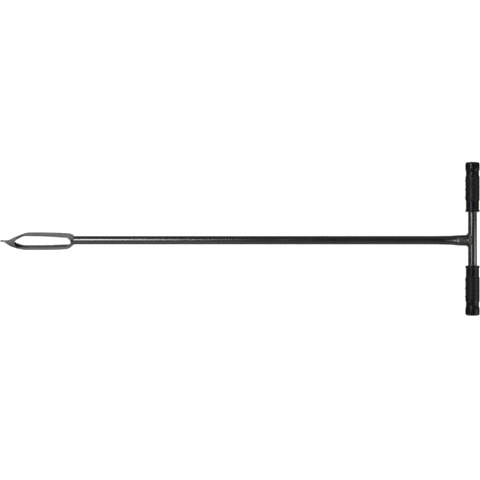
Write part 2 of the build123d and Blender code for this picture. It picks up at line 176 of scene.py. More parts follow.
def unevenness(seed, wavelength, count=28):
    """A smooth random field of points, about -1 to 1, with bumps of about that wavelength in mm."""
    rng = np.random.default_rng(seed)
    k = rng.normal(size=(count, 3))
    k /= np.linalg.norm(k, axis=1, keepdims=True)
    k *= 2 * math.pi / (wavelength * rng.uniform(0.7, 1.6, size=(count, 1)))
    phase = rng.uniform(0, 2 * math.pi, count)

    def f(points):
        return np.sin(np.asarray(points, float) @ k.T + phase).sum(-1) * (1.0 / math.sqrt(count))

    return f


def patch(points, wrap=False, rect=(0.0, 0.0, 1.0, 1.0), strips=1, **values):
    """A grid of points in mm, rows along the piece and columns across or round it, with its place on
    the texture map and per-point values. strips lays a long grid side by side on the map."""
    p = np.asarray(points, float)
    values = {k: np.broadcast_to(np.asarray(v, float), p.shape[:2]) for k, v in values.items()}
    if wrap:
        p = np.concatenate([p, p[:, :1]], axis=1)
        values = {k: np.concatenate([v, v[:, :1]], axis=1) for k, v in values.items()}
    return {"p": p, "rect": rect, "strips": strips, "values": values}


def _flat_map(g):
    """Corner places on the texture map for each face of a grid, (rows, columns, 4, 2)."""
    p = g["p"]
    along = np.concatenate([[0.0], np.cumsum(np.linalg.norm(np.diff(p, axis=0), axis=2).mean(1))])
    across = np.concatenate([[0.0], np.cumsum(np.linalg.norm(np.diff(p, axis=1), axis=2).mean(0))])
    along = along / max(along[-1], 1e-9)
    across = across / max(across[-1], 1e-9)
    n = len(along) - 1
    k = g["strips"]
    cuts = [int(np.argmin(abs(along - i / k))) for i in range(k + 1)]
    x0, y0, x1, y1 = g["rect"]
    w = (x1 - x0) / k
    gap = 0.003
    out = np.zeros((n, len(across) - 1, 4, 2))
    for i in range(k):
        a, b = cuts[i], cuts[i + 1]
        v = (along[a : b + 1] - along[a]) / max(along[b] - along[a], 1e-9)
        v = y0 + gap + v * (y1 - y0 - 2 * gap)
        u = x0 + i * w + gap + across * (w - 2 * gap)
        out[a:b, :, 0, 0] = u[None, :-1]
        out[a:b, :, 1, 0] = u[None, 1:]
        out[a:b, :, 2, 0] = u[None, 1:]
        out[a:b, :, 3, 0] = u[None, :-1]
        out[a:b, :, 0, 1] = v[:-1, None]
        out[a:b, :, 1, 1] = v[:-1, None]
        out[a:b, :, 2, 1] = v[1:, None]
        out[a:b, :, 3, 1] = v[1:, None]
    return out


def build(name, patches, material, slot, *nodes):
    """One closed smooth mesh from grids that share their borders, riding on the part's body."""
    points, quads, places, values, start = [], [], [], {}, 0
    for g in patches:
        p = g["p"]
        n, m = p.shape[:2]
        index = start + np.arange(n * m).reshape(n, m)
        quads.append(np.stack([index[:-1, :-1], index[:-1, 1:], index[1:, 1:], index[1:, :-1]], -1).reshape(-1, 4))
        places.append(_flat_map(g).reshape(-1, 4, 2))
        points.append(p.reshape(-1, 3))
        for k, v in g["values"].items():
            values.setdefault(k, []).append((start, v.reshape(-1)))
        start += n * m
    points, quads, places = np.concatenate(points), np.concatenate(quads), np.concatenate(places)
    key = np.floor((points + (0.000171, 0.000237, 0.000311)) / 0.001).astype(np.int64)
    _, first, group = np.unique(key, axis=0, return_index=True, return_inverse=True)
    group = group.reshape(-1)
    quads = group[quads]
    faces, corners = [], []
    for f, uv in zip(quads.tolist(), places.tolist()):
        kept = [i for i in range(4) if f[i] != f[(i + 1) % 4]]
        if len(kept) < 3 or len({f[i] for i in kept}) < len(kept):
            continue
        faces.append([f[i] for i in kept])
        corners.extend(uv[i] for i in kept)
    mesh = bpy.data.meshes.new(name)
    mesh.from_pydata((points[first] * 0.001).tolist(), [], faces)
    layer = mesh.uv_layers.new(name="OFBake")
    layer.uv.foreach_set("vector", np.array(corners, np.float32).ravel())
    bm = bmesh.new()
    bm.from_mesh(mesh)
    bmesh.ops.recalc_face_normals(bm, faces=bm.faces)
    loose = [v for v in bm.verts if not v.link_faces]
    bmesh.ops.delete(bm, geom=loose, context="VERTS")
    unclosed = sum(1 for e in bm.edges if len(e.link_faces) != 2)
    if bm.calc_volume(signed=True) < 0:
        bmesh.ops.reverse_faces(bm, faces=bm.faces)
    for e in bm.edges:
        if len(e.link_faces) == 2 and e.calc_face_angle(0.0) > math.radians(50):
            e.smooth = False
    bm.to_mesh(mesh)
    bm.free()
    mesh.polygons.foreach_set("use_smooth", np.ones(len(mesh.polygons), bool))
    for k, parts in values.items():
        every = np.zeros(start)
        for at, v in parts:
            every[at : at + len(v)] = v
        attribute = mesh.attributes.new(k, "FLOAT", "POINT")
        if len(mesh.vertices) == len(first):
            attribute.data.foreach_set("value", every[first].astype(np.float32))
    mesh.materials.append(material)
    obj = bpy.data.objects.new(name, mesh)
    bpy.context.scene.collection.objects.link(obj)
    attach(obj, "root")
    if nodes:
        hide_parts(*nodes)
    print(f"piece {name}: {len(mesh.vertices)} points, {len(mesh.polygons)} faces, {unclosed} unclosed edges, {len(loose)} loose")
    return obj


def ring_at(u, yz, dy=0.0):
    """Points of a section square to the shaft: u from the tip, (y, z) from the shaft's axis."""
    yz = np.asarray(yz, float)
    out = np.empty(yz.shape[:-1] + (3,))
    out[..., 0] = TIP_X + u
    out[..., 1] = SHAFT_Y + dy + yz[..., 0]
    out[..., 2] = AXIS_Z + yz[..., 1]
    return out


def turned(profile, columns, values=None, wobble=None):
    """Surface of revolution about the shaft's axis from (u, r) pairs."""
    a = np.linspace(0, 2 * math.pi, columns, endpoint=False)
    rows = []
    for u, r in profile:
        rr = np.full(columns, r, float) if wobble is None else r + wobble(u, a)
        rows.append(ring_at(u, np.stack([rr * np.cos(a), rr * np.sin(a)], -1)))
    return np.array(rows)


# ---------------------------------------------------------------- pieces
def make_shaft(material):
    """The tube: round for most of its length, then pressed flat and coped to the bar. Where the
    press stopped, the wall has buckled into a small crescent on the top and the underside."""
    columns = 144
    perimeter = math.pi * SHAFT_OD
    psi = np.linspace(0, 2 * math.pi, 1441)

    def section(t, eps, inset):
        rho = t / 2
        b = (perimeter - 2 * math.pi * rho) / 4
        norm = math.sqrt(1 + eps * eps) - eps
        root = np.sqrt(np.sin(psi) ** 2 + eps * eps)
        h = rho - inset + b * (root - eps) / norm
        dh = b * np.sin(psi) * np.cos(psi) / root / norm
        y = h * np.sin(psi) + dh * np.cos(psi)
        z = h * np.cos(psi) - dh * np.sin(psi)
        s = np.concatenate([[0.0], np.cumsum(np.hypot(np.diff(y), np.diff(z)))])
        at = np.linspace(0, s[-1], columns, endpoint=False)
        return np.stack([np.interp(at, s, y), np.interp(at, s, z)], -1)

    def buckle(u, y):
        """How far the wall is pushed in at the end of the press mark, mm."""
        lip = 1197.4 - 0.05 * y * y
        return (
            1.15 * bell(u, lip - 3.6, 1.9) * bell(y, 0.6, 4.6)
            - 0.60 * bell(u, lip, 1.35) * bell(y, 0.0, 8.5)
        )

    def rings(inset):
        us = np.concatenate([
            [SHAFT_START_U, SHAFT_START_U + 0.8], np.arange(202, 1130, 8.0), np.arange(1130, 1180, 1.5), np.arange(1180, PRESS_END_U, 0.5),
        ])
        rows = []
        for u in us:
            yz = section(float(press_thick(u)), 0.34 - 0.26 * float(smooth(u, 1184, 1202)), inset)
            up = np.clip(abs(yz[:, 1]) / (press_thick(u) / 2 - inset + 1e-6), 0, 1) ** 3
            yz[:, 1] -= np.sign(yz[:, 1]) * buckle(u, yz[:, 0]) * up * (1 if inset == 0 else 0.85)
            rows.append(ring_at(u, yz, float(press_shift(u))))
        yz = section(FLAT_T, 0.08, inset)
        end = BAR_U - np.sqrt(BAR_R**2 - yz[:, 1] ** 2) - 0.02
        for s in np.linspace(0, 1, 15):
            rows.append(ring_at(PRESS_END_U + s * (end - PRESS_END_U), yz, FLAT_DY))
        return np.array(rows)

    outer, inner = rings(0.0), rings(SHAFT_WALL)
    u_of = outer[:, :, 0] - TIP_X
    across = outer[:, :, 1] - SHAFT_Y
    up = (outer[:, :, 2] - AXIS_Z) / (press_thick(u_of) / 2)
    heat = np.maximum(bell(u_of, BAR_U - 10, 16), 0.12 * bell(u_of, SHAFT_START_U, 7))
    dressed = smooth(u_of, 1190, 1200) * smooth(abs(up), 0.75, 1.0) * bell(across, -0.6, 6.2)
    # painted highlight where the press ran out: a short tongue with a tail, and the crescent behind it
    tongue = np.maximum(bell(u_of, 1187.2, 4.4) * bell(across, -1.2, 1.9), 0.45 * smooth(u_of, 1155, 1184) * (1 - smooth(u_of, 1186, 1190)) * bell(across, -0.7, 1.3))
    crescent = 0.34 * bell(u_of, 1195.6 - 0.06 * across**2, 1.5) * bell(across, 0.6, 4.4)
    rubbed = np.maximum(tongue, crescent) * smooth(up, 0.3, 0.8)
    inner = np.concatenate([inner[:1], inner[6:-60:12], inner[-58:-14:3], inner[-14:]])
    build(
        "shaft",
        [
            patch(outer, True, (0.0, 0.12, 1.0, 1.0), 4, heat=heat, dressed=dressed, rubbed=rubbed),
            patch(inner, True, (0.0, 0.0, 0.9, 0.10), 4, heat=0.6, dressed=0.0, rubbed=0.0),
            patch(np.array([outer[0], inner[0]]), True, (0.91, 0.0, 0.95, 0.1), 1, heat=1.0, dressed=0.0, rubbed=0.0),
            patch(np.array([outer[-1], inner[-1]]), True, (0.955, 0.0, 1.0, 0.1), 1, heat=1.0, dressed=0.0, rubbed=0.0),
        ],
        material, "shaft_steel", "shaft_tube",
    )


def make_bar(material):
    """The handle bar: a drawn tube with broken ends, open inside."""
    a = np.linspace(0, 2 * math.pi, 128, endpoint=False)

    def rings(pairs):
        return np.array([
            np.stack([BAR_X + r * np.cos(a), np.full(a.shape, y), AXIS_Z + r * np.sin(a)], -1) for y, r in pairs
        ])

    bore = BAR_R - BAR_WALL
    skin = [(-BAR_HALF, BAR_R - 0.5), (-BAR_HALF + 0.5, BAR_R)]
    skin += [(y, BAR_R) for y in np.linspace(-BAR_HALF + 2, BAR_HALF - 2, 96)]
    skin += [(BAR_HALF - 0.5, BAR_R), (BAR_HALF, BAR_R - 0.5)]
    outer = rings(skin)
    inner = rings([(y, bore) for y in np.linspace(-BAR_HALF, BAR_HALF, 14)])
    y = outer[:, :, 1]
    heat = bell(y, SHAFT_Y, 26) * smooth(BAR_X - outer[:, :, 0], -9, 5)
    # dark rub marks and painted shade on the bar beside the grips' mouths
    rub = np.maximum(bell(abs(y), GRIP_INNER - 1.0, 5.0), 0.0)
    build(
        "crossbar",
        [
            patch(outer, True, (0.0, 0.14, 1.0, 1.0), 3, heat=heat, rub=rub),
            patch(inner, True, (0.0, 0.0, 0.85, 0.12), 3, heat=0.2, rub=0.0),
            patch(np.array([outer[0], inner[0]]), True, (0.86, 0.0, 0.92, 0.12), 1, heat=0.0, rub=0.0),
            patch(np.array([outer[-1], inner[-1]]), True, (0.93, 0.0, 1.0, 0.12), 1, heat=0.0, rub=0.0),
        ],
        material, "bar_steel", "crossbar_tube",
    )


def make_grip(side, name, node, material):
    """A moulded grip: end knob, waist, body with three finger ridges toward the bit, a stepped-down
    sleeve and a flange. Distances e run in from the closed outer end."""
    shape = np.array([
        (0.0, 0.0), (0.06, 4.1), (0.25, 9.2), (0.55, 12.5), (1.0, 14.7), (1.6, 16.0), (2.4, 16.9), (3.4, 17.5),
        (4.8, 17.8), (8.0, KNOB_R), (16.0, KNOB_R), (19.0, 17.82), (21.0, 17.38), (22.6, 16.92), (24.4, 16.58),
        (27.0, WAIST_R), (33.0, WAIST_R), (35.0, 16.6), (36.4, 17.02), (37.8, 17.46), (39.6, BODY_R),
        (97.9, BODY_R), (98.7, 17.45), (99.2, 16.85), (99.7, SLEEVE_R - 0.35), (100.5, SLEEVE_R - 0.4),
        (101.1, SLEEVE_R - 0.1), (101.8, SLEEVE_R), (120.4, SLEEVE_R), (121.6, 16.73), (122.4, 17.15),
        (123.0, 17.55), (123.8, FLANGE_R), (126.8, FLANGE_R), (127.5, 17.55), (127.9, 17.15), (GRIP_LEN, 16.75),
    ])
    e0 = np.linspace(0, 1, 8) ** 2 * 0.55
    es = np.unique(np.round(np.concatenate([
        e0, np.arange(0.6, 6, 0.3), np.arange(6, 42, 0.75), np.arange(42, 97.5, 1.1), np.arange(97.5, 102.5, 0.18),
        np.arange(102.5, 120, 1.1), np.arange(120, GRIP_LEN, 0.22), [GRIP_LEN],
        *[np.arange(at - 3.2, at + 3.2, 0.2) for at in RIB_AT],
    ]), 3))
    keep = np.concatenate([[True], np.diff(es) > 0.045])
    es = es[keep]
    es[-1] = GRIP_LEN
    profile = np.interp(es, shape[:, 0], shape[:, 1])
    # ease the corners of the profile along its length
    eased = np.interp(es, *_eased(shape))
    profile = np.where(es > 2.4, eased, profile)
    columns = 160
    phi = np.linspace(0, 2 * math.pi, columns, endpoint=False)  # 0 points at the bit
    r = np.repeat(profile[:, None], columns, 1)
    ridge_top = np.zeros_like(r)
    for at in RIB_AT:
        de = abs(es - at)
        fall = np.where(de < 0.6, 0.1 * (de / 0.6) ** 2, 0.1 + 0.8 * (de - 0.6) / 1.0)
        disc = RIB_R - fall[:, None]
        reach = RIB_SHIFT * np.cos(phi)[None] + np.sqrt(np.maximum(disc**2 - (RIB_SHIFT * np.sin(phi)[None]) ** 2, 1.0))
        reach = np.where(de[:, None] < 3.0, reach, 0.0)
        k = 0.45
        gap = np.maximum(k - abs(r - reach), 0.0) / k
        ridge_top = np.maximum(ridge_top, smooth(reach - r, -0.1, 0.5))
        r = np.where(reach > 1, np.maximum(r, reach) + gap * gap * k / 4, r)
    # moulding line along the two sides between the ridges' ends
    for at in (math.pi / 2, 3 * math.pi / 2):
        r += 0.09 * bell(phi, at, 0.012)[None] * smooth(es, 6, 12)[:, None]
    panel = smooth(es, 38.5, 40.2) * (1 - smooth(es, 97.4, 98.6))
    r += 0.035 * unevenness(31, 7.0)(np.stack(np.broadcast_arrays(
        es[:, None], 17 * np.cos(phi)[None], 17 * np.sin(phi)[None]), -1)) * smooth(es, 3, 9)[:, None]
    r = np.minimum(r, KNOB_R + 1.5 * np.clip(np.cos(phi), 0, 1)[None])
    y = side * (GRIP_END - es)
    outer = np.stack([
        BAR_X - r * np.cos(phi)[None], np.repeat(y[:, None], columns, 1), AXIS_Z + r * np.sin(phi)[None]
    ], -1)

    def inside(pairs):
        return np.array([
            np.stack([BAR_X - q * np.cos(phi), np.full(columns, side * (GRIP_END - e)), AXIS_Z + q * np.sin(phi)], -1)
            for e, q in pairs
        ])

    mouth = inside([(GRIP_LEN, 16.75), (GRIP_LEN, 14.2), (GRIP_LEN, 12.1), (GRIP_LEN - 0.15, 11.5), (GRIP_LEN - 0.6, BAR_R)])
    mouth[0] = outer[-1]
    bore = inside([(e, BAR_R) for e in np.linspace(GRIP_LEN - 0.6, GRIP_END - BAR_HALF, 10)])
    end = inside([(GRIP_END - BAR_HALF, q) for q in (BAR_R, 7.0, 3.0, 0.0)])
    groove = np.maximum(bell(es, 100.3, 1.0), bell(es, 121.4, 0.9))[:, None]
    foot = np.zeros_like(r)
    for at in RIB_AT:
        foot = np.maximum(foot, bell(abs(es - at), 2.0, 0.8)[:, None] * smooth(np.cos(phi), 0.0, 0.6)[None])
    build(
        name,
        [
            patch(outer, True, (0.0, 0.12, 1.0, 1.0), 1, panel=panel[:, None], groove=np.maximum(groove, foot * 0.7), ridge=ridge_top),
            patch(mouth, True, (0.0, 0.0, 0.3, 0.10), 1, panel=0.0, groove=0.6, ridge=0.0),
            patch(bore, True, (0.32, 0.0, 0.75, 0.10), 1, panel=0.0, groove=1.0, ridge=0.0),
            patch(end, True, (0.77, 0.0, 1.0, 0.10), 1, panel=0.0, groove=1.0, ridge=0.0),
        ],
        material, "grip_rubber", node,
    )


def _eased(shape):
    """A profile with its corners rounded by a short moving average, as (x, y) arrays."""
    x = np.linspace(shape[0, 0], shape[-1, 0], 2561)
    y = np.interp(x, shape[:, 0], shape[:, 1])
    w = 13
    kernel = np.hanning(w + 2)[1:-1]
    kernel /= kernel.sum()
    padded = np.concatenate([np.full(w // 2, y[0]), y, np.full(w // 2, y[-1])])
    return x, np.convolve(padded, kernel, "valid")


forged = unevenness(5, 15.0)
forged_fine = unevenness(6, 5.5)


def make_blade(name, node, lead, trail, root_out, material):
    """A curved blade of plate: rounded at the trailing edge, ground back on the inside of the
    leading edge, drawn in to the point at one end and to the boss at the other."""
    us = np.linspace(BLADE_START_U, BLADE_END_U, 262)
    n_arc, n_corner, n_edge = 46, 5, 4
    bez = np.linspace(0, 1, n_corner + 1)[:, None]

    def polar(r, deg):
        return np.stack([r * np.cos(np.radians(deg)), r * np.sin(np.radians(deg))], -1)

    def corner(before, at, after):
        return (1 - bez) ** 2 * before + 2 * bez * (1 - bez) * at + bez**2 * after

    rows, wear, ground, inside, scaled = [], [], [], [], []
    for u in us:
        a0, a1 = float(trail(u)), float(lead(u))
        if u <= 174:
            r_out = float(radius(u))
            r_in = r_out - float(thick(u))
        else:
            r_out, r_in = float(root_out(u)), float(root_in(u))
            floor_r = float(boss_r(u)) - 0.3 if u > 186.8 else 0.0
            r_in = max(r_in, floor_r)
        p = float(pitch(u))
        t = r_out - r_in
        a0 += 0.5 * math.sin(u * 0.31 + 1.0) * 20 / max(r_out, 8) * smooth(u, 60, 80) * (1 - smooth(u, 165, 178)) * 0.6
        bevel = -math.degrees(min(1.6, 0.6 * t) / r_out)
        span = abs(math.radians(a1 - a0)) * r_out
        rc0 = min(0.55, 0.24 * t, 0.1 * span)
        rc1 = min(0.28, 0.15 * t, 0.05 * span)
        d0, d1 = rc0 / span, rc1 / span
        c0, c1 = polar(r_out - p, a0), polar(r_out + p, a1)
        c2, c3 = polar(r_in + p, a1 - bevel), polar(r_in - p, a0)
        m_trail, m_lead = (c0 + c3) / 2, (c1 + c2) / 2

        def arc(r, b0, b1, s):
            return polar(r + p * (2 * s - 1), b0 + (b1 - b0) * s)

        def toward(a, b, d):
            return a + (b - a) * min(d / max(np.linalg.norm(b - a), 1e-9), 0.48)

        s_out = np.linspace(d0, 1 - d1, n_arc + 1)
        outer = arc(r_out, a0, a1, s_out)
        s_in = np.linspace(1 - d1, d0, n_arc + 1)
        inner = arc(r_in, a0, a1 - bevel, s_in)
        e = np.linspace(0, 1, n_edge + 1)[:-1, None]
        k0, k1 = toward(c0, m_trail, rc0), toward(c1, m_lead, rc1)
        k2, k3 = toward(c2, m_lead, rc1), toward(c3, m_trail, rc0)
        half_out = [
            m_trail + (k0 - m_trail) * e, corner(k0, c0, outer[0]), outer[1:-1], corner(outer[-1], c1, k1),
            (k1 + (m_lead - k1) * np.linspace(0, 1, n_edge + 1)[1:-1, None]),
        ]
        half_in = [
            m_lead + (k2 - m_lead) * e, corner(k2, c2, inner[0]), inner[1:-1], corner(inner[-1], c3, k3),
            (k3 + (m_trail - k3) * np.linspace(0, 1, n_edge + 1)[1:-1, None]),
        ]
        loop = np.concatenate(half_out + half_in)
        if u > 186:
            # keep the root outside the boss
            from_axis = loop + (float(centre(u)), 0.0)
            d = np.linalg.norm(from_axis, axis=1)
            least = max(floor_r, 0.01) if u > 186.8 else 0.01
            loop = np.where((d < least)[:, None], from_axis * (least / d)[:, None] - (float(centre(u)), 0.0), loop)
        rows.append(ring_at(u, loop, float(centre(u))))
        half = len(loop) // 2
        # distance along the loop from the two edges, for wear
        where = np.concatenate([
            np.linspace(0, 0.06, n_edge + n_corner + 1)[:-1], np.linspace(0.06, 0.94, n_arc), np.linspace(0.94, 1.0, n_corner + n_edge + 1)[1:],
        ])
        where = np.interp(np.linspace(0, 1, half), np.linspace(0, 1, len(where)), where)
        both = np.concatenate([where, where[::-1]])
        near_lead = np.exp(-((1 - both) * span / 2.4))
        near_trail = 1 - smooth(both, 0.06, 0.10)
        wear.append(near_lead)
        scaled.append(near_trail)
        bevel_on = np.concatenate([np.zeros(half), np.ones(half)]) * np.exp(-(((1 - both) * span / 1.6) ** 2))
        ground.append(np.maximum(bevel_on, np.exp(-(((1 - both) * span / 0.5) ** 2))))
        inside.append(np.concatenate([np.zeros(half), np.ones(half)]))
    p = np.array(rows)
    u_of = p[:, :, 0] - TIP_X
    mid = np.stack([p[:, :, 0], SHAFT_Y + centre(u_of), np.full(u_of.shape, AXIS_Z)], -1)
    out = p - mid
    out[:, :, 0] = 0
    out /= np.maximum(np.linalg.norm(out, axis=2, keepdims=True), 1e-6)
    hold = smooth(u_of, 12, 60) * (1 - smooth(u_of, 180, 188))
    p = p + out * ((0.06 * forged(p) + 0.03 * forged_fine(p)) * (0.25 + 0.75 * hold) * (1 - smooth(u_of, 184, 190)))[:, :, None]
    tip = 1 - smooth(u_of, 22, 74)
    heat = smooth(u_of, 172, 194)
    wear, ground, inside, scaled = np.array(wear), np.array(ground), np.array(inside), np.array(scaled)
    # dark scale along the trailing edges, with painted shade on the edge faces
    scaled = scaled * smooth(u_of, 33, 39) * (1 - smooth(u_of, 176, 186))
    # painted shade, with soil, deep inside the closed point, on the leading lips near it and over the spoon, darkest
    # along its underside; darker round the crown
    side = np.degrees(np.arctan2(p[:, :, 2] - AXIS_Z, p[:, :, 1] - SHAFT_Y - centre(u_of))) % 360
    near_end = 1 - smooth(u_of, 36, 60)
    soil = np.maximum(inside, 0.9 * smooth(wear, 0.45, 0.8)) * (1 - smooth(u_of, 48, 78))
    # the spoon darker on its side turned down and away from the lamps: painted shade
    stain = (1 - smooth(u_of, 40, 64)) * smooth(side, 60, 100) * (1 - smooth(side, 300, 340))
    soil = np.maximum(soil, (1 - inside) * (0.60 * stain + 0.36 * near_end * smooth(side, 108, 142) * (1 - smooth(side, 300, 340))))
    y_of = p[:, :, 1] - SHAFT_Y
    # darker round the crown
    soil = np.maximum(soil, 0.84 * smooth(u_of, 181, 187.5) * bell(y_of, -3.0, 10.0))
    ground = ground * smooth(u_of, 54, 68) * (1 - smooth(u_of, 168, 180))

    build(
        name,
        [
            patch(p, True, (0.0, 0.0, 0.94, 1.0), 1, wear=wear, ground=ground, tip=tip, heat=heat, inside=inside, scaled=scaled, soil=soil),
            patch(_capped(p[0]), False, (0.95, 0.0, 1.0, 0.45), 1, wear=0.5, ground=0.0, tip=1.0, heat=0.0, inside=0.0, scaled=0.0, soil=0.3),
            patch(_capped(p[-1]), False, (0.95, 0.5, 1.0, 0.95), 1, wear=0.0, ground=0.0, tip=0.0, heat=1.0, inside=0.0, scaled=0.0, soil=0.0),
        ],
        material, "blade_steel", node,
    )


def _capped(loop):
    """A strip of faces that closes a long thin section: point i joined to the point facing it."""
    n = len(loop)
    half = n // 2
    one = loop[: half + 1]
    two = np.concatenate([loop[:1], loop[half:][::-1]])[: half + 1]
    return np.array([one, two])


def rope(path, r, columns=18, rows_end=5):
    """A closed bead along (u, y, z) points from the shaft's axis, with rounded ends, sections square to the shaft."""
    path = np.asarray(path, float)
    a = np.linspace(0, 2 * math.pi, columns, endpoint=False)
    rows = []
    n = len(path)
    for i, (u, y, z) in enumerate(path):
        e = min(i, n - 1 - i)
        k = math.sqrt(max(0.0, 1 - (1 - min(1.0, e / rows_end)) ** 2))
        rows.append(ring_at(u, np.stack([y + r[i] * k * np.cos(a), z + r[i] * k * np.sin(a)], -1)))
    return np.array(rows)


def make_boss(material):
    dome = [(186.8, 0.0), (186.83, 0.8), (186.91, 1.6), (187.05, 2.4), (187.28, 3.2), (187.58, 4.0)]
    dome += [(float(u), float(boss_r(u))) for u in np.linspace(188.0, 197.2, 26)]
    dome += [(197.8, 10.55), (SHAFT_START_U, SHAFT_OD / 2)]
    end = SHAFT_START_U + TANG_LEN
    tang = [(SHAFT_START_U, SHAFT_OD / 2), (SHAFT_START_U, TANG_R)]
    tang += [(u, TANG_R) for u in np.linspace(SHAFT_START_U, end - 2, 12)[1:]]
    tang += [(end - 1, TANG_R - 1), (end, TANG_R - 2), (end, 3.0), (end, 0.0)]
    bump = unevenness(9, 4.0)
    a = np.linspace(0, 2 * math.pi, 112, endpoint=False)
    top = turned(dome, 112)
    mid = np.array([TIP_X + 194.8, SHAFT_Y, AXIS_Z])
    top[1:-2] += 0.1 * bump(top[1:-2])[:, :, None] * (top[1:-2] - mid) / 9.0
    build(
        "boss",
        [
            # the boss top between the blade roots takes the blades' inside and crown darkening: painted shade
            patch(top, True, (0.0, 0.3, 1.0, 1.0), 1, heat=1.0, wear=0.0, tip=0.0, ground=0.0, inside=1.0, scaled=0.0, soil=0.75),
            patch(turned(tang, 112), True, (0.0, 0.0, 1.0, 0.28), 1, heat=0.5, wear=0.0, tip=0.0, ground=0.0, inside=0.3, scaled=0.0, soil=0.0),
        ],
        material, "blade_steel", "bit_boss",
    )


spike_half_y = through([
    (0, 1.4), (1.5, 1.85), (4, 1.95), (8.6, 1.95), (10, 1.9), (11, 1.82), (12.4, 1.82), (13.8, 1.85),
    (16.5, 2.22), (19.2, 2.95), (21.9, 3.9), (24, 4.5),
])
spike_half_z = through([
    (0, 1.4), (1.5, 1.95), (4, 2.1), (6.2, 2.1), (8.6, 2), (10, 1.9), (11, 1.82), (12.4, 1.82),
    (13.8, 1.85), (16.5, 2.22), (19.2, 2.95), (21.9, 3.9), (24, 4.5),
])


def make_spike(material):
    """The small forged spike at the tip, and its core inside the closed end of the blades."""
    us = np.concatenate([[0.0, 0.04, 0.12, 0.25, 0.45, 0.75], np.arange(1.1, 24.0, 0.35), [24.0]])
    a = np.linspace(0, 2 * math.pi, 56, endpoint=False)
    rows = []
    for u in us:
        k = math.sqrt(max(0.0, 1 - (1 - min(1.0, u / 1.1)) ** 2)) * (1.1 - 0.1 * smooth(u, 8.6, 10.8))
        q = 0.16 * math.sin(u * 0.5)
        y, z = float(spike_half_y(u)) * k * np.cos(a), float(spike_half_z(u)) * k * np.sin(a)
        rows.append(ring_at(u, np.stack([y * math.cos(q) - z * math.sin(q), y * math.sin(q) + z * math.cos(q)], -1), float(centre(u))))
    p = np.array(rows)
    p[6:-1] += (0.09 * unevenness(12, 3.2)(p[6:-1]))[:, :, None] * np.stack([np.zeros(56), np.cos(a), np.sin(a)], -1)[None]
    end = np.array([p[-1], p[-1].mean(0) + (p[-1] - p[-1].mean(0)) * 0.5, np.repeat(p[-1].mean(0)[None], 56, 0)])
    build(
        "spike",
        [
            patch(p, True, (0.0, 0.2, 1.0, 1.0), 1, wear=0.2, tip=1.0, heat=0.0, ground=0.0, inside=0.0, scaled=0.3, soil=0.66),
            patch(end, True, (0.0, 0.0, 1.0, 0.18), 1, wear=0.0, tip=1.0, heat=0.0, ground=0.0, inside=1.0, scaled=0.0, soil=0.8),
        ],
        material, "blade_steel", "pilot_point",
    )


def beads(name, node, ropes, material):
    """Weld beads as closed ropes, each with its place on the texture map."""
    k = len(ropes)
    build(
        name,
        [patch(p, True, (i / k, 0.0, (i + 1) / k, 1.0), 1, crest=c) for i, (p, c) in enumerate(ropes)],
        material, "weld_steel", node,
    )


def make_point_weld(material):
    """The two seams that close the blades on each other at the point, dressed nearly flush."""
    ropes = []
    for angle, shift, step in ((right_lead, -3.0, 1.33), (right_trail, -1.0, 1.15)):
        us = np.linspace(14.0, 14.0 + 18 * step, 110)
        i = (us - 14.0) / step
        size = 0.42 + 0.5 * np.sin(math.pi * (i + 1) / 20)
        ph = us * 2 * math.pi / 1.9 + 1.1 * np.sin(us * 0.9 + shift)
        size = size * (1 + 0.05 * np.sin(ph) + 0.07 * np.sin(us * 0.8 + 1.0))
        deg = np.radians(angle(us) + shift)
        r = radius(us) - 0.42
        path = np.stack([us, centre(us) + r * np.cos(deg), r * np.sin(deg)], -1)
        p = rope(path, size)
        # ripple crests lighter: painted light on the ripples
        ropes.append((p, np.repeat((0.4 + 0.2 * np.sin(ph))[:, None], p.shape[1], 1)))
    beads("weld_point", "point_weld", ropes, material)


def make_root_weld(name, node, edges, material):
    ropes = []
    for angle, shift in edges:
        us = np.linspace(190.4, 196.4, 64)
        i = (us - 190.4) / 0.75
        size = (0.72 + 0.6 * np.sin(math.pi * (i + 1) / 10)) * (1 + 0.02 * np.sin(us * 2 * math.pi / 2.3 + shift) + 0.05 * np.sin(us * 1.1 + 2 * shift))
        deg = np.radians(angle(us) + shift)
        r = boss_r(us) + 0.05
        p = rope(np.stack([us, r * np.cos(deg), r * np.sin(deg)], -1), size)
        # ripple crests lighter: painted light on the ripples
        ropes.append((p, np.repeat((0.30 + 0.08 * np.sin(us * 2 * math.pi / 2.3 + shift))[:, None], p.shape[1], 1)))
    beads(name, node, ropes, material)


def make_shaft_weld(material):
    """The ring bead at the bottom of the tube, dressed nearly flush, a trace of its ripples left."""
    a = np.linspace(0, 2 * math.pi, 360, endpoint=False)
    crown = [(196.52, 9.9), (196.54, 10.35), (196.66, 10.58), (196.9, 10.71), (197.3, 10.77), (197.9, 10.785),
             (198.5, 10.785), (199.0, 10.77), (199.3, 10.73), (199.5, 10.67), (199.6, 10.6)]
    slow = unevenness(15, 11.0)
    rows, crest = [], []
    for i, (u, r) in enumerate(crown):
        lift = math.sin(math.pi * i / (len(crown) - 1))
        ph = a * 44 + 1.3 * ((u - 198.1) / 1.5) ** 2 * 3.0
        at = ring_at(u, np.stack([r * np.cos(a), r * np.sin(a)], -1))
        rr = r + lift * (0.008 * np.sin(ph) + 0.03 * slow(at))
        rows.append(ring_at(u + 0.35 * lift * slow(at[:, ::-1]), np.stack([rr * np.cos(a), rr * np.sin(a)], -1)))
        crest.append(0.5 + 0.5 * np.sin(ph))
    top = np.array(rows)
    under = np.array([
        top[-1], ring_at(199.3, np.stack([10.3 * np.cos(a), 10.3 * np.sin(a)], -1)),
        ring_at(198.3, np.stack([10.1 * np.cos(a), 10.1 * np.sin(a)], -1)),
        ring_at(197.0, np.stack([9.6 * np.cos(a), 9.6 * np.sin(a)], -1)), top[0],
    ])
    build(
        "weld_shaft",
        [
            patch(top, True, (0.0, 0.25, 1.0, 1.0), 1, crest=np.array(crest)),
            patch(under, True, (0.0, 0.0, 1.0, 0.22), 1, crest=0.0),
        ],
        material, "weld_steel", "shaft_weld",
    )


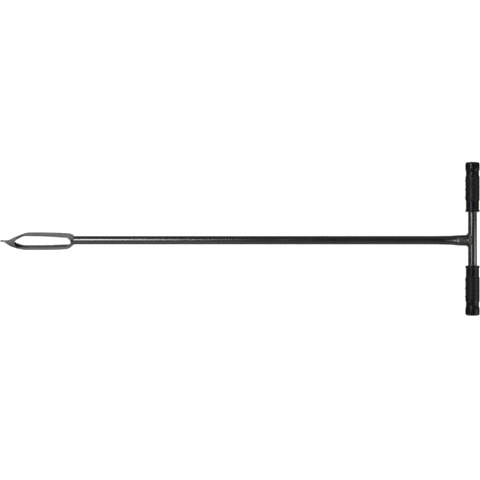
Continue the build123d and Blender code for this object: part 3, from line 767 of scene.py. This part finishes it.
def make_handle_weld(material):
    """The bead round the pressed end of the tube, on the bar: ripples all the way round, and the
    crater where the welder stopped, in the middle of the top."""
    psi = np.linspace(0, 2 * math.pi, 2881)
    rho = FLAT_T / 2
    b = (math.pi * SHAFT_OD - 2 * math.pi * rho) / 4
    y = rho * np.sin(psi) + b * np.sign(np.sin(psi)) * np.minimum(1.0, abs(np.sin(psi)) * 60)
    z = rho * np.cos(psi)
    s = np.concatenate([[0.0], np.cumsum(np.hypot(np.diff(y), np.diff(z)))])
    count = 300
    q = np.linspace(0, s[-1], count, endpoint=False)
    yz = np.stack([np.interp(q, s, y), np.interp(q, s, z)], -1)
    n = np.stack([np.interp(q, s, np.sin(psi)), np.interp(q, s, np.cos(psi))], -1)
    flat = abs(yz[:, 0]) < b
    n[flat] = np.stack([np.zeros(flat.sum()), np.sign(yz[flat, 1])], -1)
    for _ in range(14):
        n = (n + np.roll(n, 1, 0) + np.roll(n, -1, 0)) / 3
    n /= np.linalg.norm(n, axis=1, keepdims=True)
    turn = 2 * math.pi * q / s[-1]
    slow = 0.5 * np.sin(3 * turn + 0.7) + 0.35 * np.sin(7 * turn + 2.0) + 0.3 * np.sin(11 * turn + 4.0)
    slow2 = 0.5 * np.sin(4 * turn + 2.2) + 0.35 * np.sin(9 * turn + 0.3) + 0.25 * np.sin(13 * turn + 1.0)
    outward = smooth(n[:, 0], 0.25, 0.95)
    inward = smooth(-n[:, 0], 0.25, 0.95)
    level = 1 - outward - inward
    leg1 = 4.4 * level + 5.3 * outward + 4.6 * inward + 0.3 * slow
    leg2 = 5.5 * level + 6.3 * outward + 4.2 * inward + (0.3 - 0.14 * level) * slow2
    swell_mid = 1.0 * level - 0.75 * outward - 0.45 * inward
    z_bar = np.clip(yz[:, 1], -10.9, 10.9)
    x0 = BAR_X - np.sqrt(BAR_R**2 - z_bar**2)
    yb = yz + n * leg2[:, None]
    zb = np.clip(yb[:, 1], -11.04, 11.04)
    xb = BAR_X - np.sqrt(BAR_R**2 - zb**2)
    mid_y = SHAFT_Y + FLAT_DY
    start = np.stack([x0 - leg1, mid_y + yz[:, 0] + 0.02 * n[:, 0], AXIS_Z + yz[:, 1] + 0.02 * n[:, 1]], -1)
    stop = np.stack([xb - 0.02, mid_y + yb[:, 0], AXIS_Z + zb], -1)
    root = np.stack([x0, mid_y + yz[:, 0], AXIS_Z + yz[:, 1]], -1)
    swell = np.stack([-np.ones(count), n[:, 0], n[:, 1]], -1) / math.sqrt(2)
    rows, crest = [], []
    dq = np.minimum(q, s[-1] - q)  # distance along the bead from the middle of the top
    steps = np.linspace(0, 1, 17)
    for t in steps:
        ph = 2 * math.pi * q / 2.15 + 2.4 * (2 * t - 1) ** 2
        lift = 4 * t * (1 - t)
        ripple = 2.2 * abs(np.sin(ph / 2 + 0.4 * slow2)) - 1.4
        high = lift * (swell_mid + 0.10 * slow) + math.sqrt(lift) * 0.10 * ripple
        high = high + lift * 0.7 * bell(dq, 0.0, 3.6) - 1.0 * bell(dq, 0.0, 1.15) * bell(t, 0.5, 0.17)
        row = start * (1 - t) + stop * t + swell * high[:, None]
        # keep the bead above the bar it lies on, down to a rounded toe
        away = np.stack([row[:, 0] - BAR_X, row[:, 2] - AXIS_Z], -1)
        d = np.linalg.norm(away, axis=1)
        skin = (0.75 + 0.10 * slow + 0.10 * ripple) * np.sqrt(max(0.0, 1 - t)) * smooth(t, 0.25, 0.6)
        lifted = np.maximum(d, BAR_R + skin) if t < 1 else d
        row[:, [0, 2]] = np.array([BAR_X, AXIS_Z]) + away * (lifted / d)[:, None]
        rows.append(row)
        # painted glints: lighter spots on the middle of the top and, near the bar, on the outward toe; painted shade of
        # the ripples
        bare = 0.85 * bell(dq, 0.0, 3.6) * bell(t, 0.3, 0.36) + 0.5 * outward * bell(t, 0.85, 0.2)
        bare = bare + 0.55 * bell(dq, 1.2, 4.2) * bell(t, 0.92, 0.14)
        crest.append(np.clip(0.05 + 0.03 * ripple + bare - 1.2 * bell(dq, 0.0, 1.2) * bell(t, 0.55, 0.18), 0, 1))
    top = np.array(rows)
    deep = 0.45 * np.stack([np.zeros(count), n[:, 0], n[:, 1]], -1)
    axis = np.stack([np.full(count, BAR_X), stop[:, 1], np.full(count, AXIS_Z)], -1)
    into_bar = (axis - stop) / np.linalg.norm(axis - stop, axis=1, keepdims=True)
    under = np.array([top[-1], stop + 0.5 * into_bar, root - deep + (0.4, 0, 0), start - deep + (0.5, 0, 0), top[0]])
    build(
        "weld_handle",
        [
            patch(top, True, (0.0, 0.25, 1.0, 1.0), 1, crest=np.array(crest)),
            patch(under, True, (0.0, 0.0, 1.0, 0.22), 1, crest=0.0),
        ],
        material, "weld_steel", "handle_weld",
    )


# ---------------------------------------------------------------- materials
class Look:
    """A procedural material, wired with short calls. Places are in the part's own metres."""

    def __init__(self, name):
        self.material = bpy.data.materials.new(name)
        self.material.use_nodes = True
        self.nodes = self.material.node_tree.nodes
        self.links = self.material.node_tree.links
        self.nodes.clear()
        self.shader = self.nodes.new("ShaderNodeBsdfPrincipled")
        out = self.nodes.new("ShaderNodeOutputMaterial")
        self.links.new(self.shader.outputs[0], out.inputs["Surface"])
        self.place = self.nodes.new("ShaderNodeTexCoord").outputs["Object"]

    def feed(self, socket, value):
        if isinstance(value, bpy.types.NodeSocket):
            self.links.new(value, socket)
        elif isinstance(value, (tuple, list)) and len(value) == 3 and len(socket.default_value) == 4:
            socket.default_value = (*value, 1.0)
        else:
            socket.default_value = value

    def set(self, **values):
        for k, v in values.items():
            self.feed(self.shader.inputs[k.replace("_", " ")], v)

    def attr(self, name):
        n = self.nodes.new("ShaderNodeAttribute")
        n.attribute_name = name
        return n.outputs["Fac"]

    def stretched(self, per_metre, turn=0.0):
        v = self.place
        if turn:
            r = self.nodes.new("ShaderNodeVectorRotate")
            r.rotation_type = "EULER_XYZ"
            self.feed(r.inputs["Vector"], v)
            r.inputs["Rotation"].default_value = (turn, 0.7 * turn, 1.3 * turn)
            v = r.outputs[0]
        n = self.nodes.new("ShaderNodeVectorMath")
        n.operation = "MULTIPLY"
        self.feed(n.inputs[0], v)
        n.inputs[1].default_value = per_metre
        return n.outputs[0]

    def noise(self, per_metre, detail=2.0, rough=0.5, warp=0.0, turn=0.0):
        n = self.nodes.new("ShaderNodeTexNoise")
        self.feed(n.inputs["Vector"], self.stretched(per_metre, turn))
        n.inputs["Scale"].default_value = 1.0
        n.inputs["Detail"].default_value = detail
        n.inputs["Roughness"].default_value = rough
        n.inputs["Distortion"].default_value = warp
        return n.outputs[0]

    def cells(self, per_metre, feature="F1", spread=1.0, turn=0.0):
        n = self.nodes.new("ShaderNodeTexVoronoi")
        n.feature = feature
        self.feed(n.inputs["Vector"], self.stretched(per_metre, turn))
        n.inputs["Scale"].default_value = 1.0
        n.inputs["Randomness"].default_value = spread
        return n.outputs[0]

    def math(self, op, a, b=0.0, clamp=False):
        n = self.nodes.new("ShaderNodeMath")
        n.operation = op
        n.use_clamp = clamp
        self.feed(n.inputs[0], a)
        self.feed(n.inputs[1], b)
        return n.outputs[0]

    def band(self, value, lo, hi, to_lo=0.0, to_hi=1.0):
        n = self.nodes.new("ShaderNodeMapRange")
        n.interpolation_type = "SMOOTHSTEP"
        self.feed(n.inputs[0], value)
        for i, v in zip((1, 2, 3, 4), (lo, hi, to_lo, to_hi)):
            n.inputs[i].default_value = v
        return n.outputs[0]

    def mix(self, fac, a, b, kind="MIX"):
        n = self.nodes.new("ShaderNodeMix")
        n.data_type = "RGBA"
        n.blend_type = kind
        self.feed(n.inputs[0], fac)
        self.feed(n.inputs[6], a)
        self.feed(n.inputs[7], b)
        return n.outputs[2]

    def ramp(self, fac, *stops):
        n = self.nodes.new("ShaderNodeValToRGB")
        e = n.color_ramp.elements
        for i, (at, colour) in enumerate(sorted(stops)):
            stop = e[i] if i < 2 else e.new(at)
            stop.position = at
            stop.color = (*colour, 1.0)
        self.feed(n.inputs[0], fac)
        return n.outputs[0]

    def bump(self, height, metres, onto=None):
        n = self.nodes.new("ShaderNodeBump")
        n.inputs["Strength"].default_value = 1.0
        n.inputs["Distance"].default_value = metres
        self.feed(n.inputs["Height"], height)
        if onto is not None:
            self.feed(n.inputs["Normal"], onto)
        return n.outputs[0]


def shaft_look():
    """Dark drawn steel tube: fine lines along it, faint blotches, scuffs, straw and blue near the welds, a painted
    highlight on the tongue and crescent where the press ran out.
    """
    m = Look("shaft_drawn_steel")
    lines = m.noise((6, 900, 900), 3, 0.6)
    broad = m.noise((2.5, 240, 240), 2, 0.5)
    blotch = m.noise((26, 60, 60), 4, 0.62, 0.6)
    grit = m.noise((1500, 1500, 1500), 2, 0.6)
    scuff = m.band(m.noise((40, 1300, 420), 3, 0.7, 0.3, 0.35), 0.63, 0.72)
    heat = m.attr("heat")
    dressed = m.attr("dressed")
    rubbed = m.attr("rubbed")
    colour = m.mix(blotch, (0.330, 0.324, 0.318), (0.430, 0.422, 0.412))
    colour = m.mix(m.band(lines, 0.3, 0.75, 0.0, 0.45), colour, (0.47, 0.46, 0.45))
    colour = m.mix(m.math("MULTIPLY", scuff, 0.35), colour, (0.54, 0.53, 0.52))
    burn = m.math("MULTIPLY", heat, m.band(m.noise((90, 130, 130), 4, 0.6, 0.5), 0.3, 0.7, 0.25, 1.0), True)
    tint = m.ramp(burn, (0.0, (1.0, 1.0, 1.0)), (1.0, (0.42, 0.40, 0.42)), (0.3, (1.05, 0.9, 0.68)), (0.6, (0.66, 0.62, 0.86)))
    colour = m.mix(1.0, colour, tint, "MULTIPLY")
    mottle = m.noise((260, 260, 260), 3, 0.65, 0.4)
    face = m.ramp(mottle, (0.28, (0.14, 0.13, 0.125)), (0.75, (0.46, 0.435, 0.42)), (0.5, (0.30, 0.28, 0.27)))
    colour = m.mix(m.math("MULTIPLY", dressed, 0.85), colour, face)
    # painted highlight: the tongue and crescent at the press mark lighter and less metallic
    bare = m.math("MULTIPLY", rubbed, m.band(mottle, 0.3, 0.6, 0.7, 1.0), True)
    colour = m.mix(bare, colour, (0.56, 0.55, 0.53))
    rough = m.band(broad, 0.3, 0.7, 0.15, 0.22)
    rough = m.math("ADD", rough, m.band(blotch, 0.35, 0.75, 0.0, 0.06))
    rough = m.math("ADD", rough, m.math("MULTIPLY", m.math("ADD", scuff, burn), 0.10))
    rough = m.math("ADD", rough, m.math("MULTIPLY", dressed, 0.10))
    metal = m.math("SUBTRACT", 1.0, m.math("MULTIPLY", dressed, m.band(mottle, 0.3, 0.7, 0.04, 0.26)))
    metal = m.math("SUBTRACT", metal, m.math("MULTIPLY", bare, 0.8), True)
    skin = m.bump(lines, 0.000006)
    skin = m.bump(broad, 0.000012, skin)
    skin = m.bump(grit, 0.000002, skin)
    skin = m.bump(m.math("MULTIPLY", mottle, dressed), 0.00025, skin)
    m.set(Base_Color=colour, Metallic=metal, Roughness=rough, Normal=skin)
    return m.material


def bar_look():
    """Brighter drawn tube: lines along it, small dents and dark specks, dark rub marks and painted shade beside the
    grips' mouths.
    """
    m = Look("bar_bright_steel")
    lines = m.noise((1000, 7, 1000), 3, 0.6)
    broad = m.noise((260, 4, 260), 2, 0.5)
    blotch = m.noise((70, 34, 70), 4, 0.6, 0.5)
    specks = m.band(m.noise((1100, 500, 1100), 3, 0.65, 0.4), 0.64, 0.72)
    rub = m.attr("rub")
    heat = m.attr("heat")
    colour = m.mix(blotch, (0.34, 0.336, 0.330), (0.47, 0.464, 0.455))
    colour = m.mix(m.band(lines, 0.3, 0.75, 0.0, 0.4), colour, (0.53, 0.523, 0.515))
    colour = m.mix(m.math("MULTIPLY", specks, m.band(blotch, 0.45, 0.65, 0.0, 0.6)), colour, (0.13, 0.11, 0.10))
    burn = m.math("MULTIPLY", heat, m.band(m.noise((150, 60, 150), 4, 0.6, 0.6), 0.3, 0.7, 0.3, 1.0), True)
    tint = m.ramp(burn, (0.0, (1.0, 1.0, 1.0)), (1.0, (0.36, 0.34, 0.35)), (0.3, (1.0, 0.86, 0.66)), (0.6, (0.58, 0.54, 0.74)))
    colour = m.mix(1.0, colour, tint, "MULTIPLY")
    # dark rub marks and painted shade beside the grips' mouths
    colour = m.mix(m.math("MULTIPLY", rub, m.band(m.noise((900, 60, 900), 3, 0.6), 0.35, 0.65, 0.1, 0.55)), colour, (0.12, 0.115, 0.11))
    rough = m.band(broad, 0.3, 0.7, 0.13, 0.19)
    rough = m.math("ADD", rough, m.band(blotch, 0.4, 0.75, 0.0, 0.06))
    rough = m.math("ADD", rough, m.math("MULTIPLY", m.math("ADD", rub, burn), 0.14))
    skin = m.bump(lines, 0.000008)
    skin = m.bump(broad, 0.000015, skin)
    skin = m.bump(specks, -0.000004, skin)
    m.set(Base_Color=colour, Metallic=1.0, Roughness=rough, Normal=skin)
    return m.material


def rubber_look():
    """Black moulded rubber: smooth and a little shiny on the knob and sleeve, finely grained on the body,
    grey dust in the grooves, polished on the ridges."""
    m = Look("grip_moulded_rubber")
    panel = m.attr("panel")
    groove = m.attr("groove")
    ridge = m.attr("ridge")
    grain = m.cells((1250, 1250, 1250))
    flow = m.noise((60, 36, 60), 4, 0.6, 0.8)
    fine = m.noise((2300, 2300, 2300), 2, 0.5)
    dust = m.math("MULTIPLY", m.band(m.noise((420, 420, 420), 4, 0.65, 0.3), 0.42, 0.68), m.band(groove, 0.05, 0.9, 0.10, 0.55))
    colour = m.mix(flow, (0.0022, 0.0022, 0.0024), (0.0048, 0.0048, 0.0050))
    colour = m.mix(m.math("MULTIPLY", panel, 0.5), colour, (0.0056, 0.0055, 0.0054))
    colour = m.mix(dust, colour, (0.050, 0.047, 0.043))
    rough = m.band(flow, 0.3, 0.7, 0.20, 0.27)
    rough = m.math("ADD", rough, m.math("MULTIPLY", panel, 0.13))
    rough = m.math("SUBTRACT", rough, m.math("MULTIPLY", ridge, 0.08))
    rough = m.math("ADD", rough, m.math("MULTIPLY", dust, 0.35))
    skin = m.bump(m.math("MULTIPLY", grain, m.band(panel, 0.0, 1.0, 0.1, 1.0)), 0.00006)
    skin = m.bump(fine, 0.000015, skin)
    skin = m.bump(flow, 0.00008, skin)
    m.set(Base_Color=colour, Roughness=rough, Normal=skin, IOR=1.55)
    return m.material


def blade_look():
    """Forged steel with a thin dull scale: mottled, pitted near the point, bright where the leading edges
    are ground and where the earth has worn them, with painted shade on the inner faces, in the point, along the spoon's
    underside and on the trailing edges; darker round the crown."""
    m = Look("blade_forged_steel")
    wear = m.attr("wear")
    ground = m.attr("ground")
    tip = m.attr("tip")
    heat = m.attr("heat")
    inside = m.attr("inside")
    scaled = m.attr("scaled")
    soil = m.attr("soil")
    cloud = m.noise((46, 90, 90), 5, 0.62, 0.7)
    scale = m.noise((190, 330, 330), 4, 0.6, 0.5)
    drawn = m.noise((14, 620, 620), 3, 0.6, 0.15)
    pits = m.math("MULTIPLY", m.band(m.noise((620, 700, 700), 3, 0.6, 0.5, 0.5), 0.58, 0.68), m.band(cloud, 0.4, 0.6, 0.3, 1.0))
    lines = m.noise((30, 1100, 1100), 3, 0.6, 0.0, 0.0)
    across = m.noise((1500, 90, 90), 3, 0.6)
    colour = m.mix(m.band(cloud, 0.3, 0.7), (0.262, 0.259, 0.255), (0.420, 0.416, 0.410))
    colour = m.mix(m.band(scale, 0.5, 0.75, 0.0, 0.5), colour, (0.500, 0.495, 0.486))
    colour = m.mix(m.band(drawn, 0.42, 0.72, 0.0, 0.55), colour, (0.510, 0.505, 0.497))
    colour = m.mix(m.math("MULTIPLY", m.band(scale, 0.28, 0.42, 1.0, 0.0), 0.42), colour, (0.076, 0.072, 0.068))
    spots = m.math("MULTIPLY", pits, m.band(tip, 0.0, 1.0, 0.12, 0.7))
    colour = m.mix(spots, colour, (0.048, 0.044, 0.040))
    worn = m.math("MULTIPLY", wear, m.band(m.noise((160, 300, 300), 4, 0.65, 0.5), 0.32, 0.62, 0.2, 1.0), True)
    colour = m.mix(m.math("MULTIPLY", worn, 0.55), colour, (0.56, 0.555, 0.546))
    # dark scale crust and painted shade along the trailing edges
    crust = m.math("MULTIPLY", scaled, m.band(scale, 0.3, 0.65, 1.0, 0.7), True)
    colour = m.mix(m.math("MULTIPLY", crust, 0.92), colour, (0.048, 0.046, 0.044))
    bright = m.mix(m.band(across, 0.3, 0.7), (0.40, 0.396, 0.388), (0.60, 0.595, 0.586))
    colour = m.mix(m.math("MULTIPLY", ground, 0.85), colour, bright)
    # painted shade: the inner faces of the blades darkened
    colour = m.mix(m.math("MULTIPLY", inside, 0.50), colour, (0.084, 0.079, 0.074))
    # soil and painted shade in patches: the point's hollow, the spoon's underside and lip, and round the crown
    caught = m.math("MULTIPLY", soil, m.band(m.noise((210, 260, 260), 4, 0.65, 0.5), 0.25, 0.6, 0.7, 1.0), True)
    colour = m.mix(m.math("MULTIPLY", caught, 0.92), colour, (0.026, 0.023, 0.020))
    burn = m.math("MULTIPLY", heat, m.band(cloud, 0.35, 0.65, 0.2, 0.8), True)
    tint = m.ramp(burn, (0.0, (1.0, 1.0, 1.0)), (1.0, (0.40, 0.37, 0.37)), (0.35, (1.0, 0.9, 0.76)), (0.65, (0.62, 0.58, 0.68)))
    colour = m.mix(1.0, colour, tint, "MULTIPLY")
    metal = m.math("ADD", m.band(scale, 0.3, 0.7, 0.46, 0.72), m.math("MULTIPLY", worn, 0.15), True)
    metal = m.math("MULTIPLY", metal, m.band(caught, 0.0, 1.0, 1.0, 0.75))
    rough = m.math("SUBTRACT", m.band(scale, 0.3, 0.7, 0.46, 0.35), m.band(drawn, 0.4, 0.7, 0.0, 0.06))
    rough = m.math("ADD", rough, m.math("MULTIPLY", spots, 0.2))
    rough = m.math("ADD", rough, m.math("MULTIPLY", caught, 0.25))
    rough = m.math("SUBTRACT", rough, m.math("MULTIPLY", m.math("MAXIMUM", ground, worn), 0.14))
    skin = m.bump(cloud, 0.00045)
    skin = m.bump(scale, 0.00007, skin)
    skin = m.bump(drawn, 0.00002, skin)
    skin = m.bump(spots, -0.00008, skin)
    skin = m.bump(m.math("MULTIPLY", lines, m.math("SUBTRACT", 1.0, ground)), 0.00002, skin)
    skin = m.bump(m.math("MULTIPLY", across, ground), 0.00006, skin)
    m.set(Base_Color=colour, Metallic=metal, Roughness=rough, Normal=skin)
    return m.material


def weld_look():
    """Weld metal: painted light on the ripple crests and glints, painted shade in the valleys, faint straw and blue
    oxide.
    """
    m = Look("weld_bead_steel")
    crest = m.attr("crest")
    cloud = m.noise((240, 240, 240), 4, 0.6, 0.8)
    fine = m.noise((1600, 1600, 1600), 3, 0.6)
    colour = m.ramp(crest, (0.0, (0.092, 0.090, 0.088)), (1.0, (0.60, 0.59, 0.575)), (0.45, (0.25, 0.243, 0.238)))
    oxide = m.ramp(cloud, (0.25, (0.66, 0.66, 0.76)), (0.8, (1.06, 0.96, 0.84)), (0.5, (0.98, 0.95, 0.93)))
    colour = m.mix(0.85, colour, m.mix(1.0, colour, oxide, "MULTIPLY"))
    colour = m.mix(m.band(fine, 0.55, 0.75, 0.0, 0.4), colour, (0.08, 0.075, 0.07))
    rough = m.band(cloud, 0.3, 0.7, 0.20, 0.32)
    rough = m.math("ADD", rough, m.band(crest, 0.0, 0.8, 0.04, 0.0))
    metal = m.math("SUBTRACT", m.band(cloud, 0.3, 0.7, 1.0, 0.94), m.band(crest, 0.35, 0.9, 0.0, 0.55))
    skin = m.bump(cloud, 0.0003)
    skin = m.bump(fine, 0.00004, skin)
    m.set(Base_Color=colour, Metallic=metal, Roughness=rough, Normal=skin)
    return m.material


def dressed_look():
    """Weld metal ground back to the tube: like the tube, with the grinding marks running round it."""
    m = Look("weld_dressed_steel")
    crest = m.attr("crest")
    marks = m.noise((1400, 60, 60), 3, 0.6)
    cloud = m.noise((160, 160, 160), 4, 0.6, 0.5)
    colour = m.mix(m.band(cloud, 0.3, 0.7), (0.27, 0.262, 0.254), (0.43, 0.42, 0.41))
    colour = m.mix(m.band(marks, 0.35, 0.7, 0.0, 0.35), colour, (0.50, 0.49, 0.48))
    rough = m.math("ADD", m.band(cloud, 0.3, 0.7, 0.20, 0.30), m.band(crest, 0.0, 1.0, 0.06, 0.0))
    skin = m.bump(marks, 0.00001)
    skin = m.bump(cloud, 0.00004, skin)
    m.set(Base_Color=colour, Metallic=1.0, Roughness=rough, Normal=skin)
    return m.material


def floor_look():
    """Pale matt paper: very faint tone and tooth."""
    m = Look("floor_paper")
    tone = m.noise((3, 3, 3), 2, 0.5)
    tooth = m.noise((900, 900, 900), 2, 0.5)
    m.set(
        Base_Color=m.mix(tone, (0.300, 0.300, 0.299), (0.320, 0.320, 0.319)), Roughness=m.band(tooth, 0.3, 0.7, 0.9, 1.0),
        Normal=m.bump(tooth, 0.00002), Specular_IOR_Level=0.0, Emission_Color=(1.0, 1.0, 1.0), Emission_Strength=0.90,
    )
    return m.material


# ---------------------------------------------------------------- the part
steel, bright, rubber, forged_steel, weld = shaft_look(), bar_look(), rubber_look(), blade_look(), weld_look()
make_shaft(steel)
make_bar(bright)
make_grip(1, "grip_left", "left_grip", rubber)
make_grip(-1, "grip_right", "right_grip", rubber)
make_blade("blade_left", "left_blade", left_lead, left_trail, root_out_left, forged_steel)
make_blade("blade_right", "right_blade", right_lead, right_trail, root_out_right, forged_steel)
make_boss(forged_steel)
make_spike(forged_steel)
make_point_weld(weld)
make_root_weld("weld_root_left", "left_root_weld", ((left_trail, 5.0), (left_lead, -5.0)), weld)
make_root_weld("weld_root_right", "right_root_weld", ((right_lead, -5.0), (right_trail, 5.0)), weld)
make_shaft_weld(dressed_look())
make_handle_weld(weld)

# ---------------------------------------------------------------- floor, light, camera
scene = bpy.context.scene
scene.view_settings.view_transform = "Standard"
scene.view_settings.look = "None"
# a camera's firm response below white, so that thin dark edges on the pale floor keep their weight
scene.view_settings.use_curve_mapping = True
response = scene.view_settings.curve_mapping
for at, to in ((0.06, 0.06), (0.12, 0.12), (0.18, 0.176), (0.30, 0.262), (0.52, 0.405), (0.76, 0.64)):
    response.curves[3].points.new(at, to)
response.update()

sheet = bpy.data.meshes.new("floor")
sheet.from_pydata([(-30, -30, 0), (30, -30, 0), (30, 30, 0), (-30, 30, 0)], [], [(0, 1, 2, 3)])
sheet.materials.append(floor_look())
floor = bpy.data.objects.new("floor", sheet)
scene.collection.objects.link(floor)
floor.visible_glossy = False

world = bpy.data.worlds.new("studio")
scene.world = world
world.use_nodes = True
wn, wl = world.node_tree.nodes, world.node_tree.links
wn.clear()
out = wn.new("ShaderNodeOutputWorld")
dim, white, pick = wn.new("ShaderNodeBackground"), wn.new("ShaderNodeBackground"), wn.new("ShaderNodeMixShader")
path, gen, split = wn.new("ShaderNodeLightPath"), wn.new("ShaderNodeTexCoord"), wn.new("ShaderNodeSeparateXYZ")
wl.new(gen.outputs["Generated"], split.inputs[0])
shift = wn.new("ShaderNodeMath")
shift.operation = "MULTIPLY_ADD"
shift.inputs[1].default_value = 0.5
shift.inputs[2].default_value = 0.5
wl.new(split.outputs["Z"], shift.inputs[0])


def sky(*stops):
    """Grey by height: 0 straight down, 0.5 the horizon, 1 straight up."""
    ramp = wn.new("ShaderNodeValToRGB")
    for i, (at, grey) in enumerate(stops):
        stop = ramp.color_ramp.elements[i] if i < 2 else ramp.color_ramp.elements.new(at)
        stop.position = at
        stop.color = (grey, grey, grey * 1.02, 1.0)
    wl.new(shift.outputs[0], ramp.inputs[0])
    return ramp.outputs[0]


side = wn.new("ShaderNodeMapRange")
side.interpolation_type = "SMOOTHSTEP"
side.inputs[1].default_value = -0.7
side.inputs[2].default_value = 0.25
wl.new(split.outputs["Y"], side.inputs[0])
two = wn.new("ShaderNodeMix")
two.data_type = "RGBA"
wl.new(side.outputs[0], two.inputs[0])
wl.new(sky((0.0, 0.04), (0.45, 0.06), (0.56, 0.10), (0.80, 0.10), (1.0, 0.028)), two.inputs[6])
wl.new(sky((0.0, 0.04), (0.45, 0.05), (0.56, 0.07), (0.80, 0.05), (1.0, 0.028)), two.inputs[7])
wl.new(two.outputs[2], dim.inputs["Color"])
white.inputs["Color"].default_value = (1.0, 1.0, 1.0, 1.0)
wl.new(path.outputs["Is Camera Ray"], pick.inputs[0])
wl.new(dim.outputs[0], pick.inputs[1])
wl.new(white.outputs[0], pick.inputs[2])
wl.new(pick.outputs[0], out.inputs["Surface"])


def lamp(name, kind, place, turn, colour=(1.0, 1.0, 1.0), **values):
    data = bpy.data.lights.new(name, kind)
    data.color = colour
    for k, v in values.items():
        setattr(data, k, v)
    obj = bpy.data.objects.new(name, data)
    obj.location = place
    obj.rotation_euler = turn
    scene.collection.objects.link(obj)
    return obj


overhead = lamp("overhead", "SUN", (0, 0, 4), (0, 0, 0), energy=2.05, angle=math.radians(140))
overhead.visible_glossy = False
for i, (x0, x1, glow, low) in enumerate((
    (-1.9, -1.2, 3.4, 0.45), (-1.2, -0.92, 4.4, 1.6), (-0.92, -0.80, 4.7, 0.16), (-0.80, -0.66, 3.8, 0.02), (-0.66, -0.52, 0.45, 0.03), (-0.52, -0.46, 0.12, 0.04),
    (-0.46, -0.38, 0.05, 0.09), (-0.38, -0.22, 0.01, 0.24), (-0.22, 0.06, 0.01, 0.08),
)):
    lamp(
        f"softbox_{i}", "AREA", ((x0 + x1) / 2, 0.80, 3.0), (0, 0, 0),
        shape="RECTANGLE", size=x1 - x0, size_y=1.28, energy=glow * math.pi * (x1 - x0) * 1.04,
    )
    lamp(
        f"softbox_low_{i}", "AREA", ((x0 + x1) / 2, -0.02, 3.0), (0, 0, 0),
        shape="RECTANGLE", size=x1 - x0, size_y=0.36, energy=low * math.pi * (x1 - x0) * 0.36,
    )
lamp(
    "side_panel", "AREA", (2.6, -0.80, 1.2), (0, math.radians(90), 0),
    shape="RECTANGLE", size=2.0, size_y=1.60, energy=0.82 * math.pi * 2.0 * 1.60,
)
lamp(
    "low_fill", "AREA", (-1.05, -2.6, 1.9), (math.radians(90), 0, 0),
    shape="RECTANGLE", size=1.7, size_y=3.0, energy=0.11 * math.pi * 1.7 * 3.0,
)
# four panels at the corners of the room, off both tubes' mirror planes as seen from the camera
for i, (x, y) in enumerate(((2.4, 2.2), (2.4, -2.2), (-2.4, 2.2), (-2.4, -2.2))):
    lamp(
        f"corner_{i}", "AREA", (x, y, 1.5), (math.radians(68), 0, math.atan2(x, -y)),
        shape="RECTANGLE", size=1.3, size_y=1.6, energy=1.3 * math.pi * 1.3 * 1.6,
    )

eye = bpy.data.cameras.new("camera")
eye.lens = 100.0
eye.sensor_width = 36.0
camera = bpy.data.objects.new("camera", eye)
camera.location = (0.286375, -0.0030, 3.4726)
camera.rotation_euler = (0.0, math.radians(4.589), 0.0)
scene.collection.objects.link(camera)
scene.camera = camera
